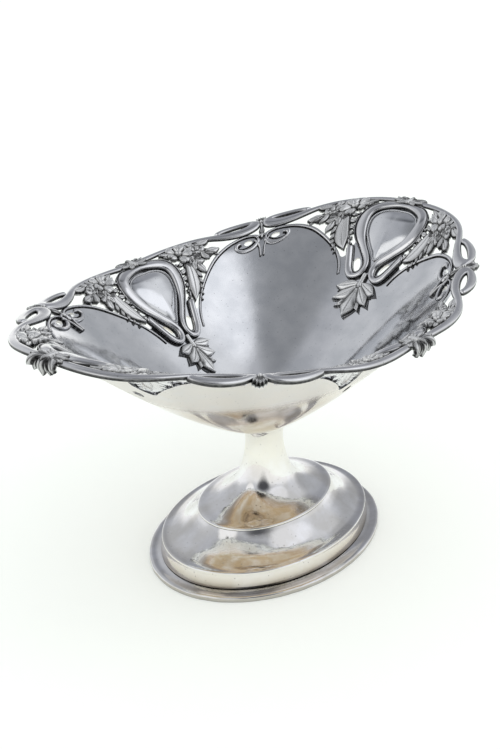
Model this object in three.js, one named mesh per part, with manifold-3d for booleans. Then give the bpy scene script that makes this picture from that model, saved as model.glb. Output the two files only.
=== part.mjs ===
// Silver pedestal dish: a pierced oval bowl with cast and soldered mounts on a stepped oval foot.
// Millimetres, Z up. The origin is the middle of the foot's resting face, X runs along the dish.
import * as THREE from 'three';
import { mergeVertices } from 'three/addons/utils/BufferGeometryUtils.js';
import Module from 'manifold-3d';

const wasm = await Module();
wasm.setup();

// Bowl sheet
const rimHalfLength = 120.7;
const rimHalfWidth = 79.3;
const endRimHeight = 134;
const sideRimHeight = 118.8;
const bowlFloorHeight = 61;
const panelSwellDepth = 2.5;
const sheetThickness = 1.2;
const floorRoundShare = 0.35;
const flareStartShare = 0.88;
const flareShare = 3.2;
const cornerDrawShare = 0.035;

// Depth from the rim down to the tips of the leaf drops
const endOrnamentDepth = 66;
const sideOrnamentDepth = 59;

// Soldered seats: the gap that each mount keeps to what carries it
const seatGapHeight = 0.35;
const weldDistance = 0.001;
const cutOverrunLength = 2;

// Rim ribbons, eight cast wires from a knot to a corner loop
const ribbonWidth = 4.2;
const ribbonEndWidth = 2.8;
const ribbonHeight = 3.1;
const ribbonTaperShare = 0.25;
const ribbonSteps = 30;

// Cartouche frames, one strap bent round each shield with a hairpin on both sides
const strapWidth = 7;
const hairpinWidth = 3.7;
const strapHeight = 2.6;
const strapSteps = 54;
const hairpinShare = 0.48;
const strapFullShare = 0.7;
const strapTopShare = 0.86;

// Shields inside the frames
const shieldHeight = 3.2;
const shieldMiddleShare = 0.29;

// Panel scrolls, the thin arches over the four smooth panels, with their volutes and spur
const scrollWidth = 2.6;
const volutePointWidth = 1.5;
const scrollHeight = 1.2;
const spurHeight = 1.7;
const spurWidth = 9.4;
const spurLength = 10;
const spurTopShare = 0.145;
const scrollSteps = 26;

// Flower sprays: a flower, its boss and three toothed leaves
const flowerShares = [0.345, 0.052];
const flowerRadius = 5.6;
const flowerHeight = 1.9;
const petalNotchShare = 0.62;
const flowerBossRadius = 1.7;
const flowerBossHeight = 3.1;
const leafHeight = 1.4;
const frondRootShares = [0.36, 0.085];
const frondTurn = 3.05;
const frondLength = 21;
const frondWidth = 5.2;
const budRootShares = [0.30, 0.035];
const budTurn = 1.32;
const budLength = 7.5;
const budWidth = 3.2;
const cornerLeafRootShares = [0.375, 0.055];
const cornerLeafTurn = -1.74;
const cornerLeafLength = 18;
const cornerLeafWidth = 5.6;

// Leaf drops under the hairpins
const dropLength = 18.5;
const dropWidth = 21;
const dropHeight = 2.1;
const dropTopShare = 0.735;

// Knot leaves wrapped over the rim at the four axes, corner shells between the loops
const knotLeafLength = 11;
const knotLeafWidth = 13;
const knotLeafThickness = 2;
const knotBendRadius = 1.8;
const knotBendAngle = 2;
const knotEdgeShare = -0.062;
const shellLength = 14;
const shellWidth = 7.4;
const shellHeight = 3.4;
const shellRootShare = 0.08;

// Foot
const footHalfLength = 63.9;
const footHalfWidth = 49;
const footWireHeight = 2.4;
const footWireBevelWidth = 0.6;
const footWireWidth = 6.6;
const wallHalfLength = 58;
const wallHalfWidth = 43.4;
const wallTopHeight = 10.85;
const wallDraftWidth = 1.6;
const tierTopHeight = 21.2;
const stepHalfLength = 36.6;
const stepHalfWidth = 26.1;
const stepTopHeight = 22.8;
const stepDraftWidth = 1;
const footSheetThickness = 1.2;
const stepSeatWidth = 3;

// Stem
const waistHalfLength = 9.9;
const waistHalfWidth = 8.3;
const waistHeight = 51;
const stemTopHalfLength = 12.6;
const stemTopHalfWidth = 10.6;
const stemWallThickness = 1.2;
const stemSeatWidth = 4.5;
const shoulderRiseHeight = 6.2;

// Counts
const bowlSteps = 44;
const bowlRings = 8;
const footSteps = 36;
const arcSamples = 240;

const quarterTurn = Math.PI / 2;
const fullTurn = Math.PI * 2;
const probeShare = 0.002;

// Surface of the bowl: angle round the rim, share of the way from the centre out, and lift along
// the normal, where zero is the polished inner face
function sectionRise(share) {
  const rounded = Math.hypot(share, floorRoundShare) - floorRoundShare;
  return rounded - flareShare * Math.max(0, share - flareStartShare) ** 2;
}

function bowlRise(share) {
  return sectionRise(share) / sectionRise(1);
}

function bowlPoint(angle, share) {
  const corner = Math.sin(2 * angle) ** 2;
  const draw = 1 - cornerDrawShare * corner;
  const middle = (endRimHeight + sideRimHeight) / 2;
  const saddle = (endRimHeight - sideRimHeight) / 2;
  const rimHeight = middle + saddle * Math.cos(2 * angle);
  const swell = panelSwellDepth * corner * Math.max(0, share * (1 - share) * 4);
  return new THREE.Vector3(
    rimHalfLength * draw * share * Math.cos(angle),
    rimHalfWidth * draw * share * Math.sin(angle),
    bowlFloorHeight + (rimHeight - bowlFloorHeight) * bowlRise(share) - swell,
  );
}

function bowlNormal(angle, share) {
  if (share < probeShare) {
    return new THREE.Vector3(0, 0, 1);
  }
  const out = bowlPoint(angle, share + probeShare).sub(bowlPoint(angle, share - probeShare));
  const round = bowlPoint(angle + probeShare, share).sub(bowlPoint(angle - probeShare, share));
  return out.cross(round).normalize();
}

function onBowl(angle, share, lift) {
  return bowlPoint(angle, share).addScaledVector(bowlNormal(angle, share), lift);
}

// Length along the rim in one quarter, from the end of the dish to its side
const rimArc = [0];
for (let i = 1; i <= arcSamples; i += 1) {
  const angle = ((i - 1 / 2) / arcSamples) * quarterTurn;
  const speed = Math.hypot(rimHalfLength * Math.sin(angle), rimHalfWidth * Math.cos(angle));
  rimArc.push(rimArc[i - 1] + (speed * quarterTurn) / arcSamples);
}
const quarterArc = rimArc[arcSamples];
const halfArc = quarterArc / 2;

function angleAtArc(arc) {
  const wanted = Math.min(Math.max(arc, 0), quarterArc);
  let i = 1;
  while (i < arcSamples && rimArc[i] < wanted) {
    i += 1;
  }
  const part = (wanted - rimArc[i - 1]) / (rimArc[i] - rimArc[i - 1]);
  return ((i - 1 + part) / arcSamples) * quarterTurn;
}

// Each ornament is laid out from the cartouche of its quarter. Along is a share of the rim's
// length from that cartouche to the corner, down is a share of the ornament depth.
function rimAngle(quarter, along) {
  const atEnd = quarter % 2 === 0;
  const size = Math.abs(along) * halfArc;
  const turned = atEnd ? angleAtArc(size) : quarterTurn - angleAtArc(quarterArc - size);
  return quarter * quarterTurn + Math.sign(along) * turned;
}

function ornamentDepth(angle) {
  return endOrnamentDepth * Math.cos(angle) ** 2 + sideOrnamentDepth * Math.sin(angle) ** 2;
}

function sectionLength(angle) {
  const rim = bowlPoint(angle, 1);
  return Math.hypot(rim.x, rim.y, rim.z - bowlFloorHeight);
}

function bowlShare(angle, down) {
  return 1 - (down * ornamentDepth(angle)) / sectionLength(angle);
}

function place(quarter, along, down, lift) {
  const angle = rimAngle(quarter, along);
  return onBowl(angle, bowlShare(angle, down), lift);
}

function normalAt(quarter, along, down) {
  const angle = rimAngle(quarter, along);
  return bowlNormal(angle, bowlShare(angle, down));
}

// Closed forms: positions only, shared corners merged, thin slivers dropped, faces turned out
function closedForm(geometry) {
  geometry.deleteAttribute('normal');
  geometry.deleteAttribute('uv');
  const merged = mergeVertices(geometry, weldDistance);
  const position = merged.getAttribute('position');
  const corner = (i) => new THREE.Vector3().fromBufferAttribute(position, i);
  const faces = [];
  let volume = 0;
  for (let i = 0; i < merged.index.count; i += 3) {
    const [a, b, c] = [0, 1, 2].map((k) => merged.index.getX(i + k));
    if (a !== b && b !== c && c !== a) {
      faces.push([a, b, c]);
      volume += corner(a).dot(corner(b).cross(corner(c)));
    }
  }
  const turned = volume < 0 ? faces.map(([a, b, c]) => [a, c, b]) : faces;
  merged.setIndex(turned.flat());
  return merged;
}

function toSolid(form) {
  return new wasm.Manifold(new wasm.Mesh({
    numProp: 3,
    vertProperties: Float32Array.from(form.getAttribute('position').array),
    triVerts: Uint32Array.from(form.index.array),
  }));
}

function fromSolid(solid) {
  const mesh = solid.getMesh();
  const form = new THREE.BufferGeometry();
  form.setAttribute('position', new THREE.BufferAttribute(Float32Array.from(mesh.vertProperties), 3));
  form.setIndex(Array.from(mesh.triVerts));
  return form;
}

function joined(forms) {
  return fromSolid(forms.map(toSolid).reduce((whole, next) => whole.add(next)));
}

function bent(geometry, bend) {
  const position = geometry.getAttribute('position');
  for (let i = 0; i < position.count; i += 1) {
    const point = bend(position.getX(i), position.getY(i), position.getZ(i));
    position.setXYZ(i, point.x, point.y, point.z);
  }
  return closedForm(geometry);
}

// A strip with a half-round top, laid on the bowl along a route of along and down shares
function layStrip(quarter, hand, routeShares, steps, widthAt, height, roundSegments = 2) {
  const routePoints = routeShares.map(([along, down]) => new THREE.Vector2(along, down));
  const route = new THREE.SplineCurve(routePoints);
  const section = new THREE.Shape();
  section.absarc(0, 0, 1, 0, Math.PI);
  const strip = new THREE.ExtrudeGeometry(section, {
    depth: 1,
    steps,
    curveSegments: roundSegments,
    bevelEnabled: false,
  });
  const stations = [];
  for (let i = 0; i <= steps; i += 1) {
    const share = i / steps;
    const here = route.getPointAt(share);
    const ahead = route.getPointAt(Math.min(share + probeShare, 1));
    const behind = route.getPointAt(Math.max(share - probeShare, 0));
    const middle = place(quarter, hand * here.x, here.y, seatGapHeight);
    const front = place(quarter, hand * ahead.x, ahead.y, seatGapHeight);
    const back = place(quarter, hand * behind.x, behind.y, seatGapHeight);
    const up = normalAt(quarter, hand * here.x, here.y);
    const side = front.sub(back).cross(up).normalize();
    stations.push({ middle, up, side, halfWidth: widthAt(share) / 2 });
  }
  return bent(strip, (x, y, z) => {
    const { middle, up, side, halfWidth } = stations[Math.round(z * steps)];
    return middle.clone().addScaledVector(side, x * halfWidth).addScaledVector(up, y * height);
  });
}

// A flat cut shape, drawn in millimetres about its own middle, laid on the bowl and raised
function layShape(quarter, hand, rootShares, turn, outline, height) {
  const raised = new THREE.ExtrudeGeometry(outline, { depth: height, steps: 1, bevelEnabled: false });
  return layForm(raised, quarter, hand, rootShares, turn);
}

function layForm(geometry, quarter, hand, [along, down], turn) {
  const angle = rimAngle(quarter, along);
  const round = halfArc * bowlShare(angle, down);
  const depth = ornamentDepth(angle);
  const cosine = Math.cos(turn);
  const sine = Math.sin(turn);
  return bent(geometry, (x, y, z) => {
    const sideways = x * cosine - y * sine;
    const towardsRim = x * sine + y * cosine;
    const lift = seatGapHeight + z;
    return place(quarter, hand * (along + sideways / round), down - towardsRim / depth, lift);
  });
}

// Outlines are drawn in millimetres from a table of shares of their own length and width
function outlineFromShares(shares, width, length) {
  return new THREE.Shape(shares.map(([x, y]) => new THREE.Vector2(x * width, y * length)));
}

function mirrored(halfShares) {
  const back = halfShares.filter(([x]) => x !== 0).map(([x, y]) => [-x, y]).reverse();
  return [...halfShares, ...back];
}

// Bowl sheet: one raised and pierced sheet. The piercings are cut through it in mirrored pairs.
const loopOpeningShares = [
  [0.62, -0.2], [0.56, -0.01], [0.63, 0.045], [0.74, 0.075], [0.86, 0.082], [0.95, 0.065],
  [1.05, 0.065], [1.05, -0.2],
];
const piercingShares = [
  [[0.245, 0.055], [0.28, 0.07], [0.285, 0.11], [0.26, 0.10]],
  [[0.43, 0.10], [0.53, 0.095], [0.61, 0.10], [0.545, 0.155], [0.45, 0.20]],
  [[0.30, 0.165], [0.33, 0.19], [0.325, 0.30], [0.30, 0.40], [0.285, 0.41], [0.295, 0.30]],
  [[0.125, 0.545], [0.16, 0.55], [0.165, 0.60], [0.135, 0.64], [0.105, 0.61]],
];

function bowlSheet() {
  const profile = [];
  for (let i = 0; i <= bowlRings; i += 1) {
    profile.push(new THREE.Vector2(i / bowlRings, 1));
  }
  for (let i = bowlRings; i >= 0; i -= 1) {
    profile.push(new THREE.Vector2(i / bowlRings, 0));
  }
  const plain = bent(new THREE.LatheGeometry(profile, bowlSteps), (x, y, z) => (
    onBowl(Math.atan2(x, z), Math.hypot(x, z), (y - 1) * sheetThickness)
  ));
  let sheet = toSolid(plain);
  for (const quarter of [0, 1, 2, 3]) {
    for (const hand of [-1, 1]) {
      for (const shares of [loopOpeningShares, ...piercingShares]) {
        sheet = sheet.subtract(toSolid(piercing(quarter, hand, shares)));
      }
    }
  }
  return fromSolid(sheet);
}

function piercing(quarter, hand, shares) {
  const outline = outlineFromShares(shares, 1, 1);
  const depth = sheetThickness + cutOverrunLength * 2;
  const cutter = new THREE.ExtrudeGeometry(outline, { depth, steps: 1, bevelEnabled: false });
  return bent(cutter, (x, y, z) => place(quarter, hand * x, y, z - sheetThickness - cutOverrunLength));
}

// Rim ribbon: from the knot round the flower, in at the corner, and back out in a loop
const ribbonRouteShares = [
  [0.045, -0.03], [0.10, -0.038], [0.18, -0.055], [0.26, -0.072], [0.34, -0.082], [0.43, -0.077],
  [0.52, -0.052], [0.60, -0.014], [0.68, 0.024], [0.76, 0.047], [0.85, 0.052], [0.925, 0.03],
  [0.952, -0.014], [0.92, -0.058], [0.85, -0.078], [0.77, -0.074], [0.70, -0.052], [0.668, -0.026],
];

function rimRibbon(quarter, hand) {
  const taper = (share) => THREE.MathUtils.lerp(
    ribbonWidth,
    ribbonEndWidth,
    THREE.MathUtils.smoothstep(share, 1 - ribbonTaperShare, 1),
  );
  return layStrip(quarter, hand, ribbonRouteShares, ribbonSteps, taper, ribbonHeight);
}

// Cartouche frame: hairpin, strap, over the top, strap, hairpin, as one continuous strap
const strapHalfRouteShares = [
  [0.262, 0.43], [0.24, 0.495], [0.215, 0.57], [0.185, 0.64], [0.14, 0.685],
  [0.09, 0.685], [0.055, 0.65], [0.052, 0.60], [0.085, 0.54], [0.145, 0.465], [0.205, 0.37],
  [0.237, 0.27], [0.232, 0.18], [0.195, 0.11], [0.12, 0.065], [0, 0.055],
];

function cartoucheFrame(quarter) {
  const route = mirrored(strapHalfRouteShares);
  const widthAt = (share) => {
    const fromEnd = Math.min(share, 1 - share) * 2;
    const swell = THREE.MathUtils.smoothstep(fromEnd, hairpinShare, strapFullShare);
    const narrowing = THREE.MathUtils.smoothstep(fromEnd, strapTopShare, 1);
    return THREE.MathUtils.lerp(hairpinWidth, strapWidth, swell * (1 - narrowing));
  };
  return layStrip(quarter, 1, route, strapSteps, widthAt, strapHeight);
}

// Shield: the smooth convex boss that the frame holds
const shieldHalfShares = [
  [0, 0.125], [0.09, 0.127], [0.145, 0.16], [0.17, 0.22], [0.17, 0.29], [0.14, 0.37], [0.085, 0.45],
  [0.035, 0.51], [0, 0.54],
];
const domeShares = [[0, 0], [1, 0], [0.93, 0.42], [0.68, 0.8], [0.3, 1], [0, 1]];

function shield(quarter) {
  const edge = mirrored(shieldHalfShares);
  const profile = domeShares.map(([size, rise]) => new THREE.Vector2(size, rise));
  const dome = new THREE.LatheGeometry(profile, edge.length);
  return bent(dome, (x, y, z) => {
    const turnShare = (Math.atan2(x, z) / fullTurn + 1) % 1;
    const [along, down] = edge[Math.round(turnShare * edge.length) % edge.length];
    const size = Math.hypot(x, z);
    const level = THREE.MathUtils.lerp(shieldMiddleShare, down, size);
    return place(quarter, along * size, level, seatGapHeight + y * shieldHeight);
  });
}

// Panel scroll: two arches that rise from the hairpins, curl into volutes and meet over a spur
const archRouteShares = [
  [0.275, 0.665], [0.305, 0.57], [0.355, 0.475], [0.43, 0.38], [0.515, 0.29], [0.60, 0.215],
  [0.69, 0.16], [0.78, 0.125], [0.87, 0.112], [0.945, 0.128], [0.966, 0.172], [0.92, 0.212],
  [0.85, 0.22], [0.797, 0.195], [0.803, 0.165],
];
const spurHalfShares = [[0, 0], [0.28, 0.12], [0.5, 0.36], [0.24, 0.5], [0, 1]];

function panelScroll(quarter) {
  const taper = (share) => THREE.MathUtils.lerp(scrollWidth, volutePointWidth, share ** 2);
  const near = layStrip(quarter, 1, archRouteShares, scrollSteps, taper, scrollHeight, 1);
  const far = layStrip((quarter + 1) % 4, -1, archRouteShares, scrollSteps, taper, scrollHeight, 1);
  const outline = outlineFromShares(mirrored(spurHalfShares), spurWidth, -spurLength);
  const spur = layShape(quarter, 1, [1, spurTopShare], 0, outline, spurHeight);
  return joined([near, far, spur]);
}

// Leaves with a toothed edge, drawn from root to tip
const toothNotchShare = 0.3;
const leafSwellShares = [0.15, 0.95];

function leafOutline(length, width, teeth) {
  const pitch = 1 / (teeth + 1);
  const half = [[0, 0]];
  for (let i = 1; i <= teeth; i += 1) {
    const root = i * pitch;
    const swell = Math.sin(Math.PI * THREE.MathUtils.lerp(...leafSwellShares, root)) / 2;
    half.push([swell * (1 - toothNotchShare), root - toothNotchShare * pitch]);
    half.push([swell, root]);
  }
  half.push([0, 1]);
  return outlineFromShares(mirrored(half), width, length);
}

function flowerOutline() {
  const petals = 5;
  const pointsPerPetal = 4;
  const steps = petals * pointsPerPetal;
  const points = [];
  for (let i = 0; i < steps; i += 1) {
    const angle = (i / steps) * fullTurn;
    const wave = Math.sqrt(Math.abs(Math.sin((petals * angle) / 2)));
    const radius = flowerRadius * THREE.MathUtils.lerp(petalNotchShare, 1, wave);
    points.push(new THREE.Vector2(radius * Math.cos(angle), radius * Math.sin(angle)));
  }
  return new THREE.Shape(points);
}

// Flower spray: flower, boss, bud towards the knot, frond towards the hairpin, leaf to the corner
const bossShares = [[0, 0], [1, 0], [0.85, 0.85], [0, 1]];
const bossSides = 6;
const longLeafTeeth = 3;
const budTeeth = 1;

function flowerSpray(quarter, hand) {
  const leaf = (rootShares, turn, length, width, teeth) => (
    layShape(quarter, hand, rootShares, turn, leafOutline(length, width, teeth), leafHeight));
  const bossProfile = bossShares.map(([size, rise]) => (
    new THREE.Vector2(size * flowerBossRadius, rise * flowerBossHeight)));
  const boss = new THREE.LatheGeometry(bossProfile, bossSides).rotateX(quarterTurn);
  return joined([
    layShape(quarter, hand, flowerShares, 0, flowerOutline(), flowerHeight),
    layForm(boss, quarter, hand, flowerShares, 0),
    leaf(frondRootShares, frondTurn, frondLength, frondWidth, longLeafTeeth),
    leaf(budRootShares, budTurn, budLength, budWidth, budTeeth),
    leaf(cornerLeafRootShares, cornerLeafTurn, cornerLeafLength, cornerLeafWidth, longLeafTeeth),
  ]);
}

// Leaf drop: five lobes that hang from the hairpins
const dropHalfShares = [
  [0, 0], [0.13, 0.03], [0.20, 0.10], [0.34, 0.04], [0.50, 0.14], [0.46, 0.30], [0.33, 0.33],
  [0.24, 0.29], [0.34, 0.48], [0.25, 0.62], [0.12, 0.52], [0.14, 0.70], [0.07, 0.86], [0, 1],
];

function leafDrop(quarter) {
  const outline = outlineFromShares(mirrored(dropHalfShares), dropWidth, -dropLength);
  return layShape(quarter, 1, [0, dropTopShare], 0, outline, dropHeight);
}

// Knot leaf: a lobed leaf that starts between the ribbon ends and wraps over the rim
const knotLeafHalfShares = [
  [0, 0], [0.13, 0], [0.13, 0.36], [0.38, 0.44], [0.5, 0.62], [0.30, 0.64], [0.36, 0.84], [0.14, 0.80],
  [0, 1],
];

function knotLeaf(quarter) {
  const outline = outlineFromShares(mirrored(knotLeafHalfShares), knotLeafWidth, knotLeafLength);
  const raised = new THREE.ExtrudeGeometry(outline, {
    depth: knotLeafThickness,
    steps: 1,
    bevelEnabled: false,
  });
  const up = normalAt(quarter, 0, knotEdgeShare);
  const edge = place(quarter, 0, knotEdgeShare, seatGapHeight);
  const inner = place(quarter, 0, 0, seatGapHeight);
  const out = edge.clone().sub(inner).normalize();
  const side = new THREE.Vector3().crossVectors(out, up);
  const flatLength = edge.distanceTo(inner);
  return bent(raised, (x, y, z) => {
    const past = Math.max(0, y - flatLength);
    const turn = Math.min(past / knotBendRadius, knotBendAngle);
    const straight = past - turn * knotBendRadius;
    const level = Math.min(y, flatLength);
    const reach = (knotBendRadius + z) * Math.sin(turn) + straight * Math.cos(turn);
    const fall = (knotBendRadius + z) * Math.cos(turn) - knotBendRadius - straight * Math.sin(turn);
    return inner.clone()
      .addScaledVector(out, level + reach)
      .addScaledVector(up, fall)
      .addScaledVector(side, x);
  });
}

// Corner shell: a slim stem between the loops with a small fan outside them
const shellHalfShares = [
  [0, 0], [0.12, 0.06], [0.16, 0.25], [0.15, 0.68], [0.36, 0.80], [0.5, 0.90], [0.3, 0.97], [0, 1],
];

function cornerShell(quarter) {
  const outline = outlineFromShares(mirrored(shellHalfShares), shellWidth, shellLength);
  return layShape(quarter, 1, [1, shellRootShare], 0, outline, shellHeight);
}

// Foot pieces are oval rings: each row of a ring has a half length, a half width and a height
function ovalRing(rows, heightAt = (row) => row[2]) {
  const closedRows = [...rows, rows[0]];
  const profile = closedRows.map((row, i) => new THREE.Vector2(1, i));
  return bent(new THREE.LatheGeometry(profile, footSteps), (x, y, z) => {
    const row = closedRows[Math.round(y)];
    return new THREE.Vector3(x * row[0], z * row[1], heightAt(row, Math.atan2(z, x)));
  });
}

function footWire() {
  const outer = [footHalfLength, footHalfWidth];
  const inset = (amount, height) => [outer[0] - amount, outer[1] - amount, height];
  return ovalRing([
    inset(0, 0),
    inset(0, footWireHeight - footWireBevelWidth),
    inset(footWireBevelWidth, footWireHeight),
    inset(footWireWidth, footWireHeight + footWireBevelWidth),
    inset(footWireWidth, 0),
  ]);
}

// The lower foot dome: an upright wall, then a hollow curve that rises to the step
const wallFootHeight = footWireHeight + footWireBevelWidth + seatGapHeight;
const stepFootHalfLength = stepHalfLength + stepDraftWidth;
const stepFootHalfWidth = stepHalfWidth + stepDraftWidth;
const tierShares = [[0, 0], [0.25, 0.08], [0.5, 0.26], [0.75, 0.56], [0.9, 0.8], [1, 1]];

function lowerFootDome() {
  const topHalfLength = wallHalfLength - wallDraftWidth;
  const topHalfWidth = wallHalfWidth - wallDraftWidth;
  const seatHalfLength = stepFootHalfLength - stepSeatWidth;
  const seatHalfWidth = stepFootHalfWidth - stepSeatWidth;
  const tier = (inset, below) => tierShares.map(([inward, up]) => [
    THREE.MathUtils.lerp(topHalfLength, stepFootHalfLength, inward) - inset * (1 - inward),
    THREE.MathUtils.lerp(topHalfWidth, stepFootHalfWidth, inward) - inset * (1 - inward),
    THREE.MathUtils.lerp(wallTopHeight, tierTopHeight, up) - below,
  ]);
  const outside = [
    [wallHalfLength, wallHalfWidth, wallFootHeight],
    ...tier(0, 0),
    [seatHalfLength, seatHalfWidth, tierTopHeight],
  ];
  const inside = [
    [seatHalfLength, seatHalfWidth, tierTopHeight - footSheetThickness],
    ...tier(footSheetThickness, footSheetThickness).reverse(),
    [wallHalfLength - footSheetThickness, wallHalfWidth - footSheetThickness, wallFootHeight],
  ];
  return ovalRing([...outside, ...inside]);
}

// The upper foot and stem, drawn up from one sheet: a step, a shoulder and a trumpet
const trumpetShares = [
  [1, 0], [0.8, 0.16], [0.58, 0.46], [0.36, 1], [0.2, 1.66], [0.09, 2.7], [0.025, 3.7],
];

function stemPiece() {
  const stepFootHeight = tierTopHeight + seatGapHeight;
  const trumpet = (wall) => trumpetShares.map(([spread, rise]) => [
    THREE.MathUtils.lerp(waistHalfLength, stepHalfLength, spread) - wall,
    THREE.MathUtils.lerp(waistHalfWidth, stepHalfWidth, spread) - wall,
    stepTopHeight + shoulderRiseHeight * rise - wall * spread,
  ]);
  const bowlBottom = bowlFloorHeight - sheetThickness - seatGapHeight;
  const flareStart = (waistHeight + bowlBottom) / 2;
  const top = 'top';
  const outside = [
    [stepFootHalfLength, stepFootHalfWidth, stepFootHeight],
    ...trumpet(0),
    [waistHalfLength, waistHalfWidth, waistHeight],
    [waistHalfLength, waistHalfWidth, flareStart],
    [stemTopHalfLength, stemTopHalfWidth, top],
  ];
  const bore = trumpet(stemWallThickness).reverse();
  const inside = [
    [stemTopHalfLength - stemSeatWidth, stemTopHalfWidth - stemSeatWidth, top],
    [waistHalfLength - stemWallThickness, waistHalfWidth - stemWallThickness, flareStart],
    [waistHalfLength - stemWallThickness, waistHalfWidth - stemWallThickness, waistHeight],
    ...bore,
    [stepFootHalfLength - stemWallThickness, stepFootHalfWidth - stemWallThickness, stepFootHeight],
  ];
  return ovalRing([...outside, ...inside], (row, turn) => {
    if (row[2] !== top) {
      return row[2];
    }
    const lengthwise = (row[0] * Math.cos(turn)) / rimHalfLength;
    const crosswise = (row[1] * Math.sin(turn)) / rimHalfWidth;
    const angle = Math.atan2(crosswise, lengthwise);
    return onBowl(angle, Math.hypot(lengthwise, crosswise), -sheetThickness - seatGapHeight).z;
  });
}

// Finishes
const polishedSilver = { color: 0xc9cbd2, roughness: 0.16, metalness: 1 };
const castSilver = { color: 0xb9b9bd, roughness: 0.28, metalness: 1 };
const footSilver = { color: 0xd2cdc4, roughness: 0.2, metalness: 1 };

const dish = new THREE.Group();

function addPiece(name, form, finish) {
  const piece = new THREE.Mesh(form, new THREE.MeshStandardMaterial(finish));
  piece.name = name;
  dish.add(piece);
}

addPiece('foot_wire', footWire(), footSilver);
addPiece('lower_foot_dome', lowerFootDome(), footSilver);
addPiece('upper_foot_and_stem', stemPiece(), footSilver);
addPiece('bowl_sheet', bowlSheet(), polishedSilver);

const quarterNames = ['right', 'back', 'left', 'front'];
const cornerNames = ['back_right', 'back_left', 'front_left', 'front_right'];
const handNames = new Map([[1, 'a'], [-1, 'b']]);

quarterNames.forEach((quarterName, quarter) => {
  addPiece(`cartouche_frame_${quarterName}`, cartoucheFrame(quarter), castSilver);
  addPiece(`shield_${quarterName}`, shield(quarter), polishedSilver);
  addPiece(`leaf_drop_${quarterName}`, leafDrop(quarter), castSilver);
  addPiece(`knot_leaf_${quarterName}`, knotLeaf(quarter), castSilver);
  addPiece(`panel_scroll_${cornerNames[quarter]}`, panelScroll(quarter), castSilver);
  addPiece(`corner_shell_${cornerNames[quarter]}`, cornerShell(quarter), castSilver);
  for (const [hand, handName] of handNames) {
    addPiece(`rim_ribbon_${quarterName}_${handName}`, rimRibbon(quarter, hand), castSilver);
    addPiece(`flower_spray_${quarterName}_${handName}`, flowerSpray(quarter, hand), castSilver);
  }
});

export default dish;
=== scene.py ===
# %% [markdown]
# Silver pedestal dish: a pierced oval bowl, with cast and chased mounts soldered round it, on a
# stepped oval foot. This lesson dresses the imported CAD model. Every piece is a closed mesh in
# metres, and it stands exactly where its CAD solid stands.

# %% The frame
import math
from functools import partial

import bpy
import numpy as np
from mathutils import Matrix, Vector


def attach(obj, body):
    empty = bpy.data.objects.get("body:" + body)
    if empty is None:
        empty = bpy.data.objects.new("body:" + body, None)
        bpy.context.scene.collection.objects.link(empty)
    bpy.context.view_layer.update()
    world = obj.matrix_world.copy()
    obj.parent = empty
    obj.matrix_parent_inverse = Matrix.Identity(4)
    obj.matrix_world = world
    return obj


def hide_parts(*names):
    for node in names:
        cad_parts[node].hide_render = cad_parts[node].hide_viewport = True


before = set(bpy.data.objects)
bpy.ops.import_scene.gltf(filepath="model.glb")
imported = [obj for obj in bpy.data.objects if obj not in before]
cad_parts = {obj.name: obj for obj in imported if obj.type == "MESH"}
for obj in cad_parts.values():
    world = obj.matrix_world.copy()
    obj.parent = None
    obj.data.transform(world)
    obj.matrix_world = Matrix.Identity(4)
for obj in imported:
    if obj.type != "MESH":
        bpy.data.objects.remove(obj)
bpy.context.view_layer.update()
MM = 0.001
print("CAD nodes:", len(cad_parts))

# %% [markdown]
# The photograph looks down on the dish from its left front corner. The camera is made before
# anything else, so that each later piece can be judged in the right view. It leans by a degree
# and a half, as the photographer's did.

# %% The camera
AZIMUTH, ELEVATION, ROLL = math.radians(-49.87), math.radians(24.6), math.radians(-1.61)
DISTANCE, TARGET_SIDE, TARGET_HEIGHT = 527.23 * MM, -5.83 * MM, 83.7 * MM
LENS_LENGTH, SENSOR_HEIGHT, NEAR_CLIP = 55.6, 36, 0.01


def photo_camera():
    right = Vector((math.cos(AZIMUTH), math.sin(AZIMUTH), 0))
    back = Vector((math.sin(AZIMUTH) * math.cos(ELEVATION),
                   -math.cos(AZIMUTH) * math.cos(ELEVATION), math.sin(ELEVATION)))
    up = back.cross(right)
    leaned_right = right * math.cos(ROLL) + up * math.sin(ROLL)
    leaned_up = up * math.cos(ROLL) - right * math.sin(ROLL)
    place = right * TARGET_SIDE + Vector((0, 0, TARGET_HEIGHT)) + back * DISTANCE
    bpy.ops.object.camera_add(location=place)
    camera = bpy.context.object
    axes = Matrix((leaned_right, leaned_up, back)).transposed()
    camera.rotation_euler = axes.to_euler()
    camera.data.sensor_fit = "VERTICAL"
    camera.data.sensor_height = SENSOR_HEIGHT
    camera.data.lens = LENS_LENGTH
    camera.data.clip_start = NEAR_CLIP
    return camera


bpy.context.scene.camera = photo_camera()
print("camera at", [round(v, 3) for v in bpy.context.scene.camera.location])

# %% [markdown]
# The bowl was raised from one sheet, so every ornament follows one surface. The same formula as
# in the CAD source gives a point on it from an angle round the rim and a share of the way out
# from the middle. A second pair of numbers suits the ornament better: along is a share of the
# rim from the middle of a cartouche to the corner, and down is a share of the ornament's depth.
# Lengths are in millimetres. The corner panels swell a little, and the swell fades near the
# middle, so that no crease meets there.

# %% The bowl's surface
RIM_HALF_LENGTH, RIM_HALF_WIDTH = 120.7, 79.3
RIM_HEIGHT_AT_ENDS, RIM_HEIGHT_AT_SIDES = 134.0, 118.8
BOWL_FLOOR_HEIGHT, PANEL_SWELL, SHEET_THICKNESS = 61.0, 2.5, 1.2
FLOOR_ROUND, FLARE_START, FLARE, CORNER_DRAW = 0.35, 0.88, 3.2, 0.035
DEPTH_AT_ENDS, DEPTH_AT_SIDES = 66.0, 59.0
SMOOTH_MIDDLE = 0.2
PROBE = 0.002
QUARTER_TURN, HALF_TURN, FULL_TURN = math.pi / 2, math.pi, 2 * math.pi
ARC_STEPS = 2001


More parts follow.
